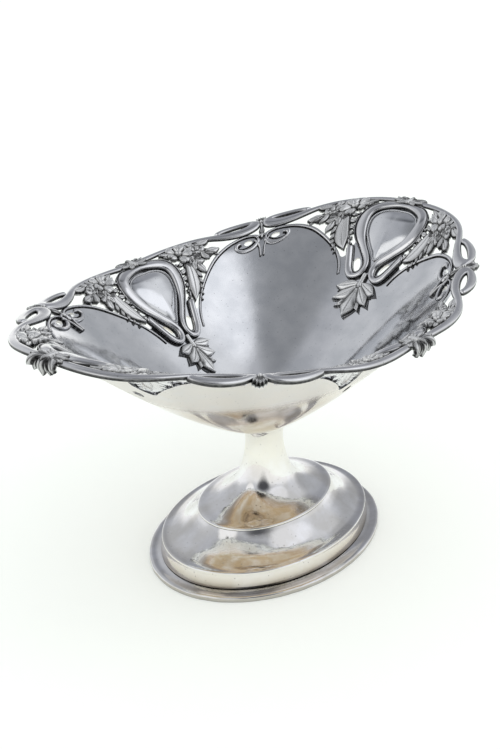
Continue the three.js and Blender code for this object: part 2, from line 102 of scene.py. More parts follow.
def section_rise(share):
    rounded = np.hypot(share, FLOOR_ROUND) - FLOOR_ROUND
    return rounded - FLARE * np.maximum(0, share - FLARE_START) ** 2


def bowl_point(angle, share):
    corner = np.sin(2 * angle) ** 2
    draw = 1 - CORNER_DRAW * corner
    middle = (RIM_HEIGHT_AT_ENDS + RIM_HEIGHT_AT_SIDES) / 2
    saddle = (RIM_HEIGHT_AT_ENDS - RIM_HEIGHT_AT_SIDES) / 2
    depth = middle + saddle * np.cos(2 * angle) - BOWL_FLOOR_HEIGHT
    rise = depth * section_rise(share) / section_rise(1)
    swell = PANEL_SWELL * corner * np.maximum(0, share * (1 - share) * 4)
    swell = swell * (1 - np.exp(-(share / SMOOTH_MIDDLE) ** 2))
    return np.stack([RIM_HALF_LENGTH * draw * share * np.cos(angle),
                     RIM_HALF_WIDTH * draw * share * np.sin(angle),
                     BOWL_FLOOR_HEIGHT + rise - swell], axis=-1)


def bowl_normal(angle, share):
    share = np.maximum(share, PROBE * 2)
    out = bowl_point(angle, share + PROBE) - bowl_point(angle, share - PROBE)
    round_it = bowl_point(angle + PROBE, share) - bowl_point(angle - PROBE, share)
    normal = np.cross(out, round_it)
    return normal / np.linalg.norm(normal, axis=-1, keepdims=True)


ARC_ANGLES = np.linspace(0, QUARTER_TURN, ARC_STEPS)
arc_speed = np.hypot(RIM_HALF_LENGTH * np.sin(ARC_ANGLES), RIM_HALF_WIDTH * np.cos(ARC_ANGLES))
arc_parts = (arc_speed[1:] + arc_speed[:-1]) / 2 * ARC_ANGLES[1]
ARC_LENGTHS = np.concatenate([[0], np.cumsum(arc_parts)])
HALF_ARC = ARC_LENGTHS[-1] / 2


def around_quarter(values, quarter, known, wanted):
    """Turns angles to lengths of rim or back, from the middle of any quarter."""
    if quarter % 2 == 0:
        return np.interp(values, known, wanted)
    return wanted[-1] - np.interp(known[-1] - values, known, wanted)


def rim_angle(quarter, along):
    turned = around_quarter(np.abs(along) * HALF_ARC, quarter, ARC_LENGTHS, ARC_ANGLES)
    return quarter * QUARTER_TURN + np.sign(along) * turned


def depth_and_length(angle):
    """How deep the ornament goes at an angle, and how far the rim is from the bowl's middle."""
    depth = DEPTH_AT_ENDS * np.cos(angle) ** 2 + DEPTH_AT_SIDES * np.sin(angle) ** 2
    rim = bowl_point(angle, 1.0)
    rise = rim[..., 2] - BOWL_FLOOR_HEIGHT
    return depth, np.sqrt(rim[..., 0] ** 2 + rim[..., 1] ** 2 + rise ** 2)


def bowl_share(angle, down):
    depth, length = depth_and_length(angle)
    return 1 - down * depth / length


print("rim from a cartouche to a corner:", round(HALF_ARC, 1), "mm")

# %% [markdown]
# A mount is modelled flat, in millimetres, and then laid on the bowl. In the flat pattern x runs
# along the rim from the middle of the cartouche, y points to the rim, and z is the height of the
# relief. No operator lays a flat pattern on a saddle-shaped bowl, so a short function moves the
# vertices. A mirrored copy comes out inside out: its volume shows that, and its faces are turned.

# %% Flat patterns
PATTERN_DEPTH, RING_SHRINK = 62.5, 0.535


def flat(along, down):
    """Millimetres in the flat pattern for a place given in shares."""
    return np.array([along * HALF_ARC * (1 - RING_SHRINK * down), -down * PATTERN_DEPTH])


def flat_line(places):
    return [flat(*place) for place in places]


def lay(points, quarter, hand, centre=0.0):
    down = -points[:, 1] / PATTERN_DEPTH
    along = hand * (centre + points[:, 0] / (HALF_ARC * (1 - RING_SHRINK * down)))
    angle = rim_angle(quarter, along)
    share = bowl_share(angle, down)
    return bowl_point(angle, share) + bowl_normal(angle, share) * points[:, 2:3]


def get_points(piece):
    points = np.empty(len(piece.data.vertices) * 3)
    piece.data.vertices.foreach_get("co", points)
    return points.reshape(-1, 3) / MM


def set_points(piece, points):
    piece.data.vertices.foreach_set("co", (points * MM).ravel())
    piece.data.update()


def turn_outwards(piece):
    mesh = piece.data
    mesh.calc_loop_triangles()
    corners = np.empty(len(mesh.loop_triangles) * 3, dtype=np.int32)
    mesh.loop_triangles.foreach_get("vertices", corners)
    a, b, c = get_points(piece)[corners.reshape(-1, 3)].transpose(1, 0, 2)
    if np.einsum("ij,ij->", a, np.cross(b, c)) < 0:
        mesh.flip_normals()


print("flat pattern of half a cartouche:", flat(1, 0)[0].round(1), "x", PATTERN_DEPTH, "mm")

# %% [markdown]
# A few helpers keep the modelling short: start from nothing selected, work in edit mode, delete
# chosen faces, and finish a piece with its material, its body and its CAD node.

# %% Modelling helpers
MERGE_DISTANCE, SHARP_EDGE = 0.004 * MM, math.radians(48)


def mode(name):
    bpy.ops.object.mode_set(mode=name)


def deselect():
    if bpy.context.mode != "OBJECT":
        mode("OBJECT")
    bpy.ops.object.select_all(action="DESELECT")


def work_on(piece):
    deselect()
    piece.select_set(True)
    bpy.context.view_layer.objects.active = piece


def edit(piece, kind="VERT"):
    work_on(piece)
    mode("EDIT")
    bpy.ops.mesh.select_mode(type=kind)
    bpy.ops.mesh.select_all(action="SELECT")


def merge_doubles(piece):
    edit(piece)
    bpy.ops.mesh.remove_doubles(threshold=MERGE_DISTANCE)
    mode("OBJECT")


def delete_faces(piece, chosen):
    edit(piece, "FACE")
    bpy.ops.mesh.select_all(action="DESELECT")
    mode("OBJECT")
    piece.data.polygons.foreach_set("select", chosen)
    mode("EDIT")
    bpy.ops.mesh.delete(type="FACE")
    mode("OBJECT")


def set_recess(piece, values):
    """How dark each vertex is, from oxidation in the hollows and from painted shade, for the
    materials.
    """
    recess = piece.data.attributes.new("recess", "FLOAT", "POINT")
    recess.data.foreach_set("value", values)


def just_added(name):
    """Names the object that an operator has just added, and its data."""
    made = bpy.context.object
    made.name = made.data.name = name
    return made


def flat_grid(name, columns, rows):
    deselect()
    bpy.ops.mesh.primitive_grid_add(x_subdivisions=columns, y_subdivisions=rows, size=2)
    return just_added(name)


def grid_shares(piece):
    """Where each vertex of a flat grid lies across it, from 0 to 1 both ways."""
    return (get_points(piece)[:, :2] * MM + 1) / 2


def face_corners(piece):
    """The vertices of each face of a flat grid, four to a row."""
    corners = np.empty(len(piece.data.loops), dtype=np.int32)
    piece.data.loops.foreach_get("vertex_index", corners)
    return corners.reshape(-1, 4)


def copy_of(pattern, name):
    piece = pattern.copy()
    piece.data = pattern.data.copy()
    piece.name = piece.data.name = name
    bpy.context.collection.objects.link(piece)
    return piece


def discard(piece):
    bpy.data.meshes.remove(piece.data)


def join(pieces, name):
    deselect()
    for piece in pieces:
        piece.select_set(True)
    bpy.context.view_layer.objects.active = pieces[0]
    bpy.ops.object.join()
    pieces[0].name = pieces[0].data.name = name
    return pieces[0]


def finish(piece, material, slot, *nodes):
    turn_outwards(piece)
    piece.data.materials.clear()
    piece.data.materials.append(material)
    work_on(piece)
    bpy.ops.object.shade_smooth_by_angle(angle=SHARP_EDGE)
    deselect()
    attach(piece, "root")
    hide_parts(*nodes)


def place_copies(pattern, stem, material, slot, node_stem, places):
    """One finished copy for each name: places says how the pattern's points move for it."""
    for name, move in places.items():
        piece = copy_of(pattern, f"{stem}_{name}")
        set_points(piece, move(get_points(piece)))
        finish(piece, material, slot, f"{node_stem}_{name}")
    print(f"{stem}:", len(places), "copies of", len(pattern.data.polygons), "faces")
    discard(pattern)


QUARTERS = ("right", "back", "left", "front")
CORNERS = ("back_right", "back_left", "front_left", "front_right")
ON_QUARTERS = {name: partial(lay, quarter=i, hand=1) for i, name in enumerate(QUARTERS)}
ON_CORNERS = {name: partial(lay, quarter=i, hand=1, centre=1.0) for i, name in enumerate(CORNERS)}
ON_HALVES = {f"{name}_{letter}": partial(lay, quarter=i, hand=hand)
             for i, name in enumerate(QUARTERS) for hand, letter in ((1, "a"), (-1, "b"))}
print("places for mounts:", len(ON_QUARTERS), "quarters and", len(ON_HALVES), "halves")

# %% [markdown]
# Colours are written as sRGB hex, as a colour picker shows them, and one function turns them to
# the linear values that Blender works in. A second one adds a node with its settings and links;
# a node given as an input stands for its first output.

# %% Colours and nodes
def colour(hex_value):
    channels = [int(hex_value[i:i + 2], 16) / 255 for i in (1, 3, 5)]
    linear = [c / 12.92 if c <= 0.04045 else ((c + 0.055) / 1.055) ** 2.4 for c in channels]
    return (*linear, 1.0)


def node(tree, kind, settings=None, **inputs):
    made = tree.nodes.new("ShaderNode" + kind)
    for name, value in (settings or {}).items():
        setattr(made, name, value)
    for name, value in inputs.items():
        key = int(name[1:]) if name[0] == "n" and name[1:].isdigit() else name
        value = value.outputs[0] if hasattr(value, "outputs") else value
        if hasattr(value, "is_output"):
            tree.links.new(value, made.inputs[key])
        else:
            made.inputs[key].default_value = value
    return made


def new_material(name):
    """A material with its node tree and its shader."""
    material = bpy.data.materials.new(name)
    material.use_nodes = True
    return material, material.node_tree, material.node_tree.nodes["Principled BSDF"]


def ramp(tree, factor, stops):
    made = node(tree, "ValToRGB", Fac=factor)
    band = made.color_ramp
    while len(band.elements) < len(stops):
        band.elements.new(1.0)
    for element, (place, shade) in zip(band.elements, stops):
        element.position = place
        element.color = colour(shade)
    return made.outputs["Color"]


print("white reads as", colour("#FFFFFF")[:3])

# %% [markdown]
# Sterling silver, polished by hand. The eye knows it by mirror reflections that are a little soft,
# by hair scratches in every direction, by small pits, and by dark oxide that the polishing cloth
# never reached. The dark comes from an attribute that each relief carries, called recess, and from
# ambient occlusion. The attribute holds oxide in the hollows, painted shade on the flanks of the
# leaves and where the knot leaves hang, and a painted dark reflection down the sides of the
# ribbons. The ambient occlusion paints shade where two pieces meet. Scratches are a tenth of a
# millimetre apart on the real dish and are drawn four times as coarse, so that they show. Faces
# that look down get a painted brown reflection, and just under the rim they keep a dull cream
# bloom. The cast leaves have a satin bloom all over, and the foot gets a broad painted shade from
# ambient occlusion where its wall meets its edge.

# %% Silver materials
SCRATCH_SPACING, SCRATCH_RUNS = 0.4, ((0.5, 26.0), (1.9, 18.0))
PIT_SPACING, SPECK_DARKNESS = 2.6, 0.45
CLOUD_SIZE, GRAIN_SIZE, HAMMER_DEPTH = 14.0, 1.3, 0.08
ADD, SUBTRACT, MULTIPLY, MULTIPLY_ADD, MAXIMUM = (
    {"operation": kind} for kind in ("ADD", "SUBTRACT", "MULTIPLY", "MULTIPLY_ADD", "MAXIMUM"))
COLOURS = {"data_type": "RGBA"}


def silver(name, clean, stained, oxide_and_shade, roughness, shade_start, shade_reach=1.8,
           recess_strength=1.0, scratch_depth=0.005, pit_depth=0.012, wear=0.0, satin=0.0,
           warm=None, bloom=None):
    """Depths and reach are in millimetres. Warm is a tilt, two heights and the painted brown
    reflection between them, and bloom is two heights and a share."""
    material, tree, shader = new_material(name)
    shader.inputs["Metallic"].default_value = 1.0 - satin
    add = partial(node, tree)
    place = add("TexCoord").outputs["Object"]
    height = add("SeparateXYZ", Vector=place).outputs["Z"]
    facing = add("SeparateXYZ", Vector=add("NewGeometry").outputs["Normal"]).outputs["Z"]
    clouds = add("TexNoise", Vector=place, Scale=1 / (CLOUD_SIZE * MM), Detail=4.0)
    fine = add("TexNoise", Vector=place, Scale=1 / (GRAIN_SIZE * MM), Detail=5.0)
    mottled = add("MapRange", n0=clouds, n1=0.38, n2=0.62)
    tint = add("Mix", COLOURS, n0=mottled, n6=colour(clean), n7=colour(stained)).outputs[2]
    # Painted brown reflection on faces that look down, graded by height and broken up by the
    # clouds.
    if warm:
        tilt, low, high, stops = warm
        level = add("MapRange", n0=height, n1=low * MM, n2=high * MM)
        under = add("MapRange", n0=facing, n1=tilt, n2=tilt - 0.3)
        patchy = add("MapRange", n0=clouds, n1=0.30, n2=0.55, n3=0.60, n4=1.0)
        share = add("Math", MULTIPLY, n0=under, n1=patchy)
        tint = add("Mix", COLOURS, n0=share, n6=tint, n7=ramp(tree, level, stops)).outputs[2]
    # Painted shade: ambient occlusion darkens hollows and places where pieces meet, and the recess
    # attribute adds oxide and more painted shade.
    open_sky = add("AmbientOcclusion", {"samples": 6}, Distance=shade_reach * MM).outputs["AO"]
    hidden = add("MapRange", n0=open_sky, n1=shade_start, n2=0.06)
    recess = add("Attribute", {"attribute_name": "recess"}).outputs["Fac"]
    dark = add("Math", MAXIMUM, n0=hidden, n1=add("Math", MULTIPLY, n0=recess, n1=recess_strength))
    patch = add("MapRange", n0=fine, n1=0.25, n2=0.6, n3=0.90, n4=1.0)
    patchy_oxide_and_shade = add("Math", {**MULTIPLY, "use_clamp": True}, n0=dark, n1=patch)
    cells = add("TexVoronoi", Vector=place, Scale=1 / (PIT_SPACING * MM)).outputs["Distance"]
    pits = add("MapRange", n0=cells, n1=0.03, n2=0.13, n3=1.0, n4=0.0)
    specks = add("Math", MULTIPLY, n0=pits, n1=SPECK_DARKNESS)
    pits_oxide_and_shade = add("Math", MAXIMUM, n0=patchy_oxide_and_shade, n1=specks)
    body = add("Mix", COLOURS, n0=pits_oxide_and_shade, n6=tint, n7=colour(oxide_and_shade)).outputs[2]
    worn = add("MapRange", n0=facing, n1=0.2, n2=0.5, n3=0.0, n4=wear)
    if bloom:
        low, high, most = bloom
        near_rim = add("MapRange", n0=height, n1=low * MM, n2=high * MM, n3=0.0, n4=most)
        under = add("MapRange", n0=facing, n1=0.0, n2=-0.3)
        dull = add("Math", MULTIPLY, n0=near_rim, n1=under)
        metal = add("Math", SUBTRACT, n0=1.0, n1=dull)
        tree.links.new(metal.outputs[0], shader.inputs["Metallic"])
        worn = add("Math", MULTIPLY_ADD, n0=dull, n1=0.4, n2=worn)
    grain = add("MapRange", n0=fine, n1=0.3, n2=0.75, n3=roughness * 0.8, n4=roughness * 1.35)
    matt = add("Math", ADD, n0=grain, n1=worn)
    rough = add("Math", MULTIPLY_ADD, n0=patchy_oxide_and_shade, n1=0.35, n2=matt)
    scratches = []
    for turn, stretch in SCRATCH_RUNS:
        turned = add("Mapping", Vector=place, Rotation=(0.3, turn * 0.4, turn),
                     Scale=(1.0, 1 / stretch, 1.0))
        lines = add("TexNoise", Vector=turned, Scale=1 / (SCRATCH_SPACING * MM), Detail=2.0)
        scratches.append(add("MapRange", n0=lines, n1=0.62, n2=0.74))
    both = add("Math", ADD, n0=scratches[0], n1=scratches[1])
    scratched = add("Bump", {"invert": True}, Height=both, Distance=scratch_depth * MM,
                    Strength=1.0)
    pitted = add("Bump", {"invert": True}, Height=pits, Distance=pit_depth * MM, Normal=scratched,
                 Strength=1.0)
    hammered = add("Bump", Height=clouds, Distance=HAMMER_DEPTH * MM, Normal=pitted, Strength=1.0)
    tree.links.new(body, shader.inputs["Base Color"])
    tree.links.new(rough.outputs[0], shader.inputs["Roughness"])
    tree.links.new(hammered.outputs[0], shader.inputs["Normal"])
    return material


# The bowl's underside gets a painted brown reflection low down that fades to cream under the rim.
polished_silver = silver(
    "polished sterling silver", "#F5F6F8", "#E2E4E7", "#2B2A28", roughness=0.075,
    recess_strength=0.9, scratch_depth=0.004, pit_depth=0.010, shade_reach=1.6, shade_start=0.5,
    wear=0.02, warm=(0.0, 68, 128, ((0.0, "#B9A182"), (0.28, "#BDAA8E"), (0.42, "#DDD3C3"),
                                    (0.55, "#F4EFE8"), (1.0, "#F8F5F0"))), bloom=(94, 102, 0.8))
cast_silver = silver(
    "cast and chased silver", "#F8F8F9", "#E9E9EA", "#070606", roughness=0.12, shade_start=0.56)
leaf_silver = silver(
    "chased silver with a satin bloom", "#FFFFFF", "#F4F4F4", "#050404", roughness=0.13,
    shade_start=0.62, satin=0.22)
# The foot gets a painted brown reflection with a dark band low on its wall, and a broad painted
# shade from ambient occlusion.
foot_silver = silver(
    "raised silver with a painted brown reflection", "#F1F1F3", "#DEDCD9", "#2A241C", roughness=0.06,
    recess_strength=0.9, scratch_depth=0.006, pit_depth=0.05, shade_reach=4.0, shade_start=0.74,
    warm=(0.45, 0.0, 12.0, ((0.0, "#E6E2DB"), (0.27, "#7F766A"), (0.48, "#D2CABE"),
                            (0.72, "#EFEAE2"), (1.0, "#EFECE3"))))
print("materials:", [m.name for m in (polished_silver, cast_silver, leaf_silver, foot_silver)])

# %% [markdown]
# The bowl. A flat grid is the plain start: its columns go round the rim and its rows run out
# from the middle. Rolled up on the bowl's surface it becomes one even skin, which is what mirror
# reflections need. The openwork is then cut by deleting the faces inside it, and the cut edge is
# drawn exactly onto its line. Solidify gives the sheet its thickness.

# %% Bowl sheet
BOWL_COLUMNS, BOWL_ROWS, DENSER_OUTSIDE = 560, 76, 0.25
BORDER_POINTS, EYE_POINTS, CURVE_STEPS = 500, 90, 24
OPENWORK_EDGE = [
    (0.035, -0.12), (0.05, -0.01), (0.12, 0.04), (0.20, 0.085), (0.250, 0.18), (0.256, 0.27),
    (0.235, 0.37), (0.245, 0.44), (0.272, 0.50), (0.31, 0.51), (0.355, 0.45), (0.43, 0.358),
    (0.515, 0.268), (0.60, 0.193), (0.69, 0.138), (0.78, 0.103), (0.87, 0.09), (0.955, 0.105),
    (1.0, 0.15),
]
BEYOND_RIM = [(1.02, 0.17), (1.02, -0.3), (0.03, -0.3)]
EYE_EDGE = [
    (0.105, 0.60), (0.125, 0.56), (0.155, 0.535), (0.178, 0.555), (0.172, 0.605), (0.148, 0.642),
    (0.118, 0.647), (0.10, 0.63), (0.105, 0.60),
]
VOLUTE_EYE = [
    (0.852, 0.170), (0.870, 0.150), (0.906, 0.147), (0.927, 0.166), (0.910, 0.183), (0.878, 0.187),
    (0.852, 0.170),
]


def smooth_line(points, count):
    """A Catmull-Rom line through the points, at even steps of length."""
    points = np.asarray(points, dtype=float)
    padded = np.vstack([2 * points[0] - points[1], points, 2 * points[-1] - points[-2]])
    parts = []
    for i in range(len(points) - 1):
        p0, p1, p2, p3 = padded[i:i + 4]
        t = np.linspace(0, 1, CURVE_STEPS, endpoint=False)[:, None]
        parts.append(0.5 * (2 * p1 + (p2 - p0) * t + (2 * p0 - 5 * p1 + 4 * p2 - p3) * t ** 2
                            + (3 * p1 - p0 - 3 * p2 + p3) * t ** 3))
    line = np.vstack(parts + [points[-1:]])
    lengths = np.concatenate([[0], np.cumsum(np.linalg.norm(np.diff(line, axis=0), axis=1))])
    wanted = np.linspace(0, lengths[-1], count)
    return np.stack([np.interp(wanted, lengths, line[:, k]) for k in range(line.shape[1])], axis=1)


def inside(points, outline):
    """Which points lie inside a closed outline, by counting the edges to their right."""
    x, y = points[:, 0], points[:, 1]
    found = np.zeros(len(points), dtype=bool)
    for (ax, ay), (bx, by) in zip(outline, np.roll(outline, -1, axis=0)):
        crosses = (ay > y) != (by > y)
        if by != ay:
            found ^= crosses & (x < (bx - ax) * (y - ay) / (by - ay) + ax)
    return found


def to_flat_places(angle, share):
    """Flat pattern places of points on the bowl, for whichever half cartouche they lie in."""
    depth, length = depth_and_length(angle)
    down = (1 - share) * length / depth
    turned = np.mod(angle, FULL_TURN)
    alongs, hands = [], []
    for quarter in range(4):
        off = np.mod(turned - quarter * QUARTER_TURN + HALF_TURN, FULL_TURN) - HALF_TURN
        arc = around_quarter(np.abs(off), quarter, ARC_ANGLES, ARC_LENGTHS)
        alongs.append(np.where(np.abs(off) < QUARTER_TURN, arc / HALF_ARC, np.inf))
        hands.append(np.where(off < 0, -1, 1))
    nearest, each = np.argmin(alongs, axis=0), np.arange(len(angle))
    return np.array(alongs)[nearest, each], down, np.array(hands)[nearest, each], nearest


def cut_openwork(sheet, angle, share):
    """Deletes the faces in the openwork and draws the cut edges onto its lines."""
    along, down, hand, quarter = to_flat_places(angle, share)
    x = along * HALF_ARC * (1 - RING_SHRINK * down)
    places = np.stack([x, -down * PATTERN_DEPTH], axis=1)
    border = smooth_line(flat_line(OPENWORK_EDGE), BORDER_POINTS)
    eyes = [smooth_line(flat_line(edge), EYE_POINTS) for edge in (EYE_EDGE, VOLUTE_EYE)]
    corners = face_corners(sheet)
    middles = places[corners].mean(axis=1)
    cut = inside(middles, np.vstack([border, flat_line(BEYOND_RIM)]))
    for eye in eyes:
        cut |= inside(middles, eye[:-1])
    beside_cut, beside_kept = np.zeros((2, len(places)), dtype=bool)
    beside_cut[corners[cut]] = True
    beside_kept[corners[~cut]] = True
    edge_lines = np.vstack([border] + eyes)
    for i in np.nonzero(beside_cut & beside_kept)[0]:
        near = edge_lines[np.argmin(np.sum((edge_lines - places[i]) ** 2, axis=1))]
        new_down = -near[1] / PATTERN_DEPTH
        new_along = hand[i] * near[0] / (HALF_ARC * (1 - RING_SHRINK * new_down))
        angle[i] = rim_angle(int(quarter[i]), np.array(new_along))
        share[i] = bowl_share(angle[i], new_down)
    set_points(sheet, bowl_point(angle, share))
    delete_faces(sheet, cut)


def bowl_sheet():
    sheet = flat_grid("bowl_sheet_skin", BOWL_COLUMNS, BOWL_ROWS)
    turn_share, share = grid_shares(sheet).T
    cut_openwork(sheet, turn_share * FULL_TURN, share * (1 + DENSER_OUTSIDE * (1 - share)))
    merge_doubles(sheet)
    work_on(sheet)
    wall = sheet.modifiers.new("wall", "SOLIDIFY")
    wall.thickness = SHEET_THICKNESS * MM
    wall.offset = -1
    if sheet.data.polygons[0].normal.z < 0:
        sheet.data.flip_normals()
    bpy.ops.object.modifier_apply(modifier=wall.name)
    return sheet


bowl = bowl_sheet()
finish(bowl, polished_silver, "polished_silver", "bowl_sheet")
print("bowl sheet:", len(bowl.data.polygons), "faces")

# %% [markdown]
# Ribbons, straps and arches are drawn wire and cast strap. Each starts as a grid that is rolled
# round a section and led along its line, with the long edges merged into a closed tube. The section
# is a list of points: across from -1 to 1, up from 0 to 1, and how dark it is there, from oxide and
# painted shade.

# %% Strips
PATH_STEPS, END_RISE = 4, 0.25
BAND_SIDE_START, BAND_SIDE_FADE = 0.82, 0.14


def lerp(a, b, t):
    return a + (b - a) * t


def smoothstep(t, low, high):
    t = np.clip((t - low) / (high - low), 0, 1)
    return t * t * (3 - 2 * t)


def strip(name, line, width_at, height_at, section, bottom, stations):
    """A grid rolled round the section and led along the line, with both ends rounded off."""
    section = np.asarray(section, dtype=float)
    around = len(section)
    piece = flat_grid(name, stations, around)
    along, turn_share = grid_shares(piece).T
    across, up, oxide_and_shade = section[np.rint(turn_share * around).astype(int) % around].T
    path = smooth_line(line, PATH_STEPS * stations + 1)
    length = np.sum(np.linalg.norm(np.diff(path, axis=0), axis=1))
    ahead = np.gradient(path, axis=0)
    ahead /= np.linalg.norm(ahead, axis=1, keepdims=True)
    side = np.stack([ahead[:, 1], -ahead[:, 0]], axis=1)
    at = np.rint(along * PATH_STEPS * stations).astype(int)
    width = width_at(along) / 2
    from_end = np.minimum(along, 1 - along) * length / np.maximum(width, 0.1)
    rounding = np.sqrt(np.clip(1 - (1 - np.clip(from_end, 0, 1)) ** 2, 0, 1))
    rise = np.where(up > 0, up * height_at(along) * lerp(END_RISE, 1, rounding), bottom)
    rise = np.where(rounding > 0, rise, lerp(bottom, rise, 0.5))
    sideways = side[at] * (across * width * rounding)[:, None]
    set_points(piece, np.column_stack([path[at] + sideways, rise]))
    set_recess(piece, oxide_and_shade)
    merge_doubles(piece)
    return piece


def band_section(steps, oxide_and_shade):
    """A broad rounded top on a flat back, clean on its crown, with oxidation and a painted dark
    reflection down its sides.
    """
    top = []
    for t in np.linspace(0, math.pi, steps):
        across = math.copysign(abs(math.cos(t)) ** 0.8, -math.cos(t))
        shade = float(np.clip((abs(across) - BAND_SIDE_START) / BAND_SIDE_FADE, 0, 1))
        top.append((across, 0.1 + 0.9 * math.sin(t) ** 0.62, oxide_and_shade * shade))
    back = [(0.96, 0.0, oxide_and_shade), (0.5, 0.0, 0.3), (0.0, 0.0, 0.3), (-0.5, 0.0, 0.3)]
    return top + back + [(-0.96, 0.0, oxide_and_shade)]


print("a ribbon's section has", len(band_section(19, 1)), "points")

# %% [markdown]
# Leaves and flowers were cast, and then chased with a punch. A relief is the honest way to model
# them: a fine grid is cut to the outline of the leaves, extruded to give it a back, and its top is
# pushed up into crowns, veins and folds. Each leaf says how far inside its edge a place is, how
# high it stands there and how dark it is, from oxide in its hollows and painted shade on its
# flanks, and the highest leaf wins, as in a real casting. Leaves stand on a low black ground, as
# the chaser's punch leaves it.

# %% Leaves and petals
VEIN_WIDTH, VEIN_DEPTH, WIDEST = 0.22, 0.28, 0.5325
FOLD_WIDTH, CREASE_WIDTH, BOSS_RADIUS, BOSS_RING = 0.3, 0.62, 1.6, 1.75
CREASE, CREASE_DEPTH = 0.48, 0.22


def lobe(x, y, root, tip, width, bow=0.0, crown=1.5, base=0.3):
    """One pointed lobe: a dark edge, a rounded back and a fine vein down its middle."""
    root, tip = np.asarray(root, dtype=float), np.asarray(tip, dtype=float)
    axis = tip - root
    length = math.hypot(*axis)
    axis = axis / length
    along = (x - root[0]) * axis[0] + (y - root[1]) * axis[1]
    share = np.clip(along / length, 0, 1)
    across = (x - root[0]) * axis[1] - (y - root[1]) * axis[0]
    off = np.abs(across - bow * length * 4 * share * (1 - share))
    half = width / 2 * np.sin(math.pi * share ** 1.1) ** np.where(share > WIDEST, 1.15, 0.65)
    edge = np.minimum(half - off, np.minimum(along, length - along) + 0.05)
    within = np.clip(off / np.maximum(half, 0.05), 0, 1)
    vein = np.exp(-(off / VEIN_WIDTH) ** 2) * (share > 0.12) * (share < 0.86)
    height = base + crown * np.sqrt(1 - (0.94 * within) ** 2) * (0.72 + 0.28 * share)
    return edge, height - VEIN_DEPTH * vein, np.clip(1.1 * within ** 3.6 + 0.6 * vein, 0, 1)


def ground(x, y, root, tip, width, bow=0.0):
    """The low body of a leaf, which stays black between the lobes that stand on it."""
    edge, height, dark = lobe(x, y, root, tip, width, bow, 0.4, 0.25)
    return edge, height, np.full_like(dark, 0.92)


def midrib(root, tip, bow):
    """A leaf's axis, its side, and a function for places on its bowed midrib."""
    root, tip = np.asarray(root, dtype=float), np.asarray(tip, dtype=float)
    length = math.hypot(*(tip - root))
    axis = (tip - root) / length
    side = np.array([axis[1], -axis[0]])
    return axis, side, lambda t: root + axis * length * t + side * bow * length * 4 * t * (1 - t)


def acanthus(x, y, root, tip, width, pairs, bow=0.0, crown=1.6):
    """A leaf of pointed lobes in pairs along a bowed midrib, on a ground that ties them."""
    axis, side, on_rib = midrib(root, tip, bow)
    parts = [
        ground(x, y, root, on_rib(0.86), width * 0.72, bow),
        lobe(x, y, on_rib(0.45), tip, width * 0.46, 0.0, crown),
    ]
    for i in range(pairs):
        start = on_rib(0.02 + 0.62 * i / pairs)
        reach = width / 2 * (1 - 0.32 * i / pairs)
        for hand in (-1, 1):
            end = start + hand * side * reach + axis * reach * 0.8
            parts.append(lobe(x, y, start, end, reach * 0.92, hand * 0.10, crown))
    rib = [on_rib(t) for t in (0.0, 0.2, 0.4, 0.6)]
    return tallest(parts + [stalk(x, y, rib, 0.9, crown * 0.75)])


def long_leaf(x, y, root, tip, width, teeth, bow):
    """A smooth broad blade with small teeth down both sides, each cut off by a black line."""
    axis, side, on_rib = midrib(root, tip, bow)
    parts = [lobe(x, y, root, tip, width * 0.85, bow, 1.7)]
    for i in range(teeth):
        t = 0.14 + 0.72 * i / (teeth - 1)
        reach = width * (0.56 - 0.55 * abs(t - 0.32))
        for hand in (-1, 1):
            start = on_rib(t) + side * hand * width * 0.30
            end = start + side * hand * reach * 0.72 + axis * reach * 0.72
            parts.append(lobe(x, y, start, end, reach * 0.58, 0.0, 1.2))
    return tallest(parts)


def flower(x, y, middle, radius, petals, turn):
    """Cupped petals with a fold down each and a crease between them, round a smooth boss."""
    dx, dy = x - middle[0], y - middle[1]
    r = np.hypot(dx, dy)
    phase = (np.arctan2(dy, dx) - turn) * petals / FULL_TURN
    part = np.abs(phase - np.floor(phase) - 0.5) * 2
    reach = radius * (1 - 0.42 * part ** 2.4 - 0.08 * np.exp(-(part / 0.16) ** 2))
    out = np.clip(r / radius, 0, 1)
    crease = np.exp(-((1 - part) * math.pi / petals * r / CREASE_WIDTH) ** 2)
    fold = np.exp(-(part * math.pi / petals * r / FOLD_WIDTH) ** 2) * (out > 0.3)
    cup = 0.75 + 1.7 * smoothstep(out, 0.15, 0.78) * (1 - 0.30 * part)
    height = cup - 1.1 * crease - 0.22 * fold
    dark = np.clip(crease + 0.3 * fold + np.exp(-((r - BOSS_RING) / 0.3) ** 2), 0, 1)
    boss = r < BOSS_RADIUS
    dome = 1.5 + 1.2 * np.sqrt(np.clip(1 - (r / BOSS_RADIUS) ** 2, 0, 1))
    return reach - r, np.where(boss, dome, height), np.where(boss, 0.15, dark)


def bead(x, y, middle, radius, height):
    """A low round knob, dark round its foot."""
    r = np.hypot(x - middle[0], y - middle[1])
    dome = height * np.sqrt(np.clip(1 - (r / radius) ** 2, 0, 1)) + 0.3
    return radius - r, dome, 0.5 * np.clip(r / radius, 0, 1) ** 3


def stalk(x, y, points, width, height):
    """A thin stem along a line, the distance to which is taken part by part."""
    best = np.full(x.shape, 1e9)
    for (ax, ay), (bx, by) in zip(points[:-1], points[1:]):
        run = (bx - ax, by - ay)
        t = np.clip(((x - ax) * run[0] + (y - ay) * run[1]) / (run[0] ** 2 + run[1] ** 2), 0, 1)
        best = np.minimum(best, np.hypot(x - ax - t * run[0], y - ay - t * run[1]))
    part = np.clip(best / (width / 2), 0, 1)
    return width / 2 - best, 0.3 + height * np.sqrt(1 - part ** 2), 0.6 * part ** 3


